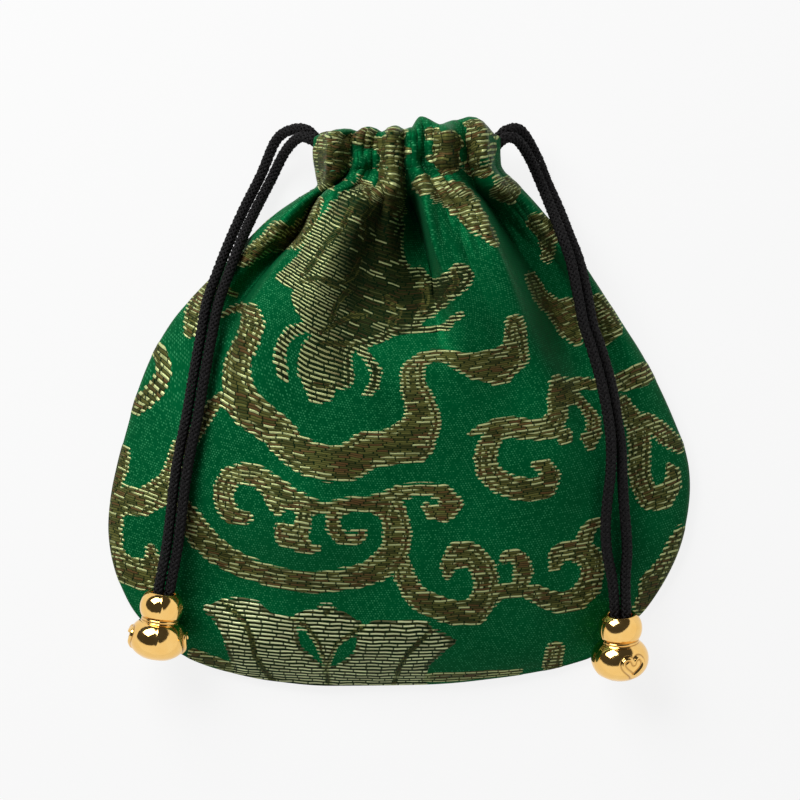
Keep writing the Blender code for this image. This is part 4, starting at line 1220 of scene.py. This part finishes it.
def makeBead(name, place):
    profile, innerPoints = beadProfile()
    angles = 2 * math.pi * np.arange(bead["turns"]) / bead["turns"]
    radius = np.repeat(profile[None, :, 0], len(angles), axis=0)
    height = np.repeat(profile[None, :, 1], len(angles), axis=0)
    around = np.repeat(angles[:, None], len(profile), axis=1)

    def angleFrom(start):
        return (around - start + math.pi) % (2 * math.pi) - math.pi

    def bell(away, width):
        return np.exp(-((away / width) ** 2))

    # raised hearts on the lower ball, ring grooves at the waist, a mould line down the side; the colour
    # turns darker brown in the grooves and in the trench round each heart
    middle = bead["lower"][0]
    outside = np.arange(len(profile)) > innerPoints
    heart = heartLine() * bead["heartSize"]
    rise, grooveDarkening = np.zeros_like(radius), np.zeros_like(radius)
    for k in range(2):
        front = math.radians(place["turn"] + 180 * k) - math.pi / 2
        across = angleFrom(front) * radius
        far = np.full(radius.shape, 1e3)
        for hx, hy in heart:
            far = np.minimum(far, np.hypot(across - hx, height - middle - hy))
        trench = bell(far - bead["trenchAt"], bead["grooveWidth"])
        crest, fall = bead["heartEdge"]
        wire = ease(crest - far / bead["heartWire"] * fall)
        rise += (bead["heartRise"] * wire - bead["trench"] * trench) * outside
        grooveDarkening += bead["grooveDarkening"]["heart"] * trench * outside
    for level in bead["grooves"]:
        ring = bell(height - level, bead["grooveWidth"]) * outside
        rise -= bead["groove"] * ring
        grooveDarkening += bead["grooveDarkening"]["waist"] * ring
    seam = math.radians(place["turn"] + 90) - math.pi / 2
    for k in range(2):
        away = angleFrom(seam + math.pi * k) * radius
        rise += bead["mouldLine"] * bell(away, bead["mouldWidth"]) * outside
    radius = radius + rise

    low, high = Vector(place["low"]), Vector(place["high"])
    axis = (high - low).normalized()
    front = (Vector((0, 0, 1)) - axis * axis.z).normalized()
    turn = np.array(Matrix((axis.cross(front), -front, axis)).transposed())
    home = np.array(low - axis * middle)
    points = np.stack([radius * np.cos(around), radius * np.sin(around), height], axis=2)
    points = points.reshape(-1, 3) @ turn.T + home
    index = np.arange(radius.size).reshape(radius.shape)
    nextTurn, nextRow = np.roll(index, -1, axis=0), np.roll(index, -1, axis=1)
    both = np.roll(nextTurn, -1, axis=1)
    faces = np.stack([index, nextTurn, both, nextRow], axis=2).reshape(-1, 4)
    mesh = bpy.data.meshes.new(name)
    mesh.from_pydata((points * mm).tolist(), [], faces.tolist())
    layer = mesh.attributes.new("grooveDarkening", "FLOAT", "POINT")
    layer.data.foreach_set("value", np.clip(grooveDarkening, 0, 1).astype(np.float32).ravel())
    mesh.materials.append(gilt)
    mesh.shade_smooth()
    return intoScene(name, mesh), home, turn


def makeKnot(name, home, turn):
    # the two strands tied together in the hollow of the bead's bottom
    t = np.linspace(0, 2 * math.pi, knot["points"])
    line = np.stack([(np.sin(t) + 2 * np.sin(2 * t)) * knot["size"],
                     (np.cos(t) - 2 * np.cos(2 * t)) * knot["size"],
                     knot["level"] - np.sin(3 * t) * knot["rise"]], axis=1)
    line = line @ turn.T + home
    out = np.zeros_like(line) + (0.0, 0.0, 1.0)
    return tubes(name, [line], [out], knot["width"], knot["depth"], knot["corners"], blackBraid)


for word, place, piece, path in (("left", beadLeft, cordLeft, pathLeft),
                                 ("right", beadRight, cordRight, pathRight)):
    gourd, home, turn = makeBead("gourd_" + word, place)
    tied = makeKnot("knot_" + word, home, turn)
    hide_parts("gourd_bead_" + word)
    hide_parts("drawcord_" + word)
    for item in (gourd, tied, piece):
        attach(item, rootBody)
print("beads and knots ready")


# the stitches that hold the casing, on the front and the back
stitch = {
    "length": 2.1,
    "gap": 1.5,
    "thick": 0.14,
    "above": 0.1,
    "sink": 0.35,
    "sinkRound": 0.6,
    "points": 9,
    "corners": 6,
    "fromSides": 1.0,
    "nextRow": 0.1,  # in stations, for the cloth's direction there
    "green": srgb(8, 92, 50),
    "lit": srgb(36, 132, 80),
    "fuzz": 3000.0,
    "roughness": 0.5,
    "bump": (0.4, 0.05 * mm),
}


def makeThreadMaterial():
    made, tree, shader = newMaterial("green sewing thread")
    coords = tree.nodes.new("ShaderNodeTexCoord")
    twist = cloudNoise(tree, coords.outputs["Object"], stitch["fuzz"], 2)
    tree.links.new(blendColours(tree, twist, stitch["green"], stitch["lit"]), shader.inputs["Base Color"])
    shader.inputs["Roughness"].default_value = stitch["roughness"]
    tree.links.new(bumpFrom(tree, twist, *stitch["bump"]), shader.inputs["Normal"])
    return made


sewingThread = makeThreadMaterial()


def makeStitches(name, outer, side):
    station = pouch["stitchStation"]
    here, above = outer(station)[0], outer(station + stitch["nextRow"])[0]
    normal = unit(np.cross(np.gradient(here, axis=0), above - here) * side)
    top = here + normal * (pouch["cloth"] + stitch["above"])
    reach = reachAlong(top)
    sink = 1 - np.sin(np.linspace(0, math.pi, stitch["points"])) ** stitch["sinkRound"]
    lines, outward = [], []
    start = stitch["fromSides"]
    while start + stitch["length"] < reach[-1] - stitch["fromSides"]:
        at = np.linspace(start, start + stitch["length"], stitch["points"])
        out = pointsAt(at, reach, normal)
        lines.append(pointsAt(at, reach, top) - out * (sink * stitch["sink"])[:, None])
        outward.append(out)
        start += stitch["length"] + stitch["gap"]
    obj = tubes(name, lines, outward, stitch["thick"], stitch["thick"], stitch["corners"],
                sewingThread)
    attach(obj, rootBody)
    return obj


stitchesFront = makeStitches("stitches_front", frontOuter, 1)
stitchesBack = makeStitches("stitches_back", backOuter, -1)
print("stitches ready")


# floor, world and light
studio = {
    "floorHalf": 1.5,
    "floorTone": 0.86,
    "floorRoughness": 0.9,
    "floorSpecular": 0.1,
    "floorGlow": 0.86,
    "worldLight": (0.03, 0.34),  # dim, and towards the lower right
    "worldFrom": (0.3, 0.95),
    "lean": 0.6,
    "overhead": 0.06,  # what metal sees straight above
    "overheadFrom": (0.52, 0.66),
    "overheadLean": 0.85,
    "key": {"place": (-0.36, 0.46, 0.46), "size": (0.56, 0.44), "power": 6.2},
}


def makeFloor():
    half = studio["floorHalf"]
    mesh = bpy.data.meshes.new("floor")
    mesh.from_pydata([(-half, -half, 0), (half, -half, 0), (half, half, 0), (-half, half, 0)],
                     [], [(0, 1, 2, 3)])
    made, tree, shader = newMaterial("white floor")
    shader.inputs["Base Color"].default_value = (*[studio["floorTone"]] * 3, 1)
    shader.inputs["Roughness"].default_value = studio["floorRoughness"]
    shader.inputs["Specular IOR Level"].default_value = studio["floorSpecular"]
    rays = tree.nodes.new("ShaderNodeLightPath").outputs
    seen = calc(tree, "MAXIMUM", rays["Is Camera Ray"], rays["Is Glossy Ray"])
    seen = calc(tree, "MAXIMUM", seen, rays["Is Transmission Ray"])
    glow = tree.nodes.new("ShaderNodeEmission")
    glow.inputs["Strength"].default_value = 1.0
    mixed = tree.nodes.new("ShaderNodeMixShader")
    tree.links.new(calc(tree, "MULTIPLY", seen, studio["floorGlow"]), mixed.inputs[0])
    tree.links.new(shader.outputs[0], mixed.inputs[1])
    tree.links.new(glow.outputs[0], mixed.inputs[2])
    tree.links.new(mixed.outputs[0], tree.nodes["Material Output"].inputs["Surface"])
    mesh.materials.append(made)
    return intoScene("floor", mesh)


def makeWorld():
    # metal sees the pale backdrop low down and the dark of the studio overhead
    world = bpy.data.worlds.new("studio")
    world.use_nodes = True
    tree = world.node_tree
    plus, minus, times, _ = sums(tree)
    coords = tree.nodes.new("ShaderNodeTexCoord")
    split = tree.nodes.new("ShaderNodeSeparateXYZ")
    tree.links.new(coords.outputs["Generated"], split.inputs[0])
    x, y, z = split.outputs
    rays = tree.nodes.new("ShaderNodeLightPath").outputs
    lean = minus(times(x, studio["lean"]), y)
    raised = minus(z, times(lean, studio["overheadLean"]))
    reflected = smoothRamp(tree, raised, *studio["overheadFrom"], 1.0, studio["overhead"])
    seen = calc(tree, "MAXIMUM", rays["Is Camera Ray"], times(rays["Is Glossy Ray"], reflected))
    seen = calc(tree, "MAXIMUM", seen, rays["Is Transmission Ray"])
    notLight = calc(tree, "MAXIMUM", rays["Is Glossy Ray"], rays["Is Transmission Ray"])
    notLight = calc(tree, "MAXIMUM", rays["Is Camera Ray"], notLight)
    ambient = smoothRamp(tree, lean, *studio["worldFrom"], *studio["worldLight"])
    background = tree.nodes["Background"]
    background.inputs["Color"].default_value = (1, 1, 1, 1)
    tree.links.new(plus(seen, times(minus(1.0, notLight), ambient)), background.inputs["Strength"])
    return world


def makeLamp(name, lamp):
    softbox = bpy.data.lights.new(name, "AREA")
    softbox.shape = "RECTANGLE"
    softbox.size, softbox.size_y = lamp["size"]
    softbox.energy = lamp["power"]
    light = intoScene(name, softbox)
    light.location = lamp["place"]
    light.rotation_euler = (-Vector(lamp["place"])).to_track_quat("-Z", "Y").to_euler()


floor = makeFloor()
bpy.context.scene.world = makeWorld()
makeLamp("key", studio["key"])
bpy.context.scene.view_settings.view_transform = "Standard"
print("studio ready")
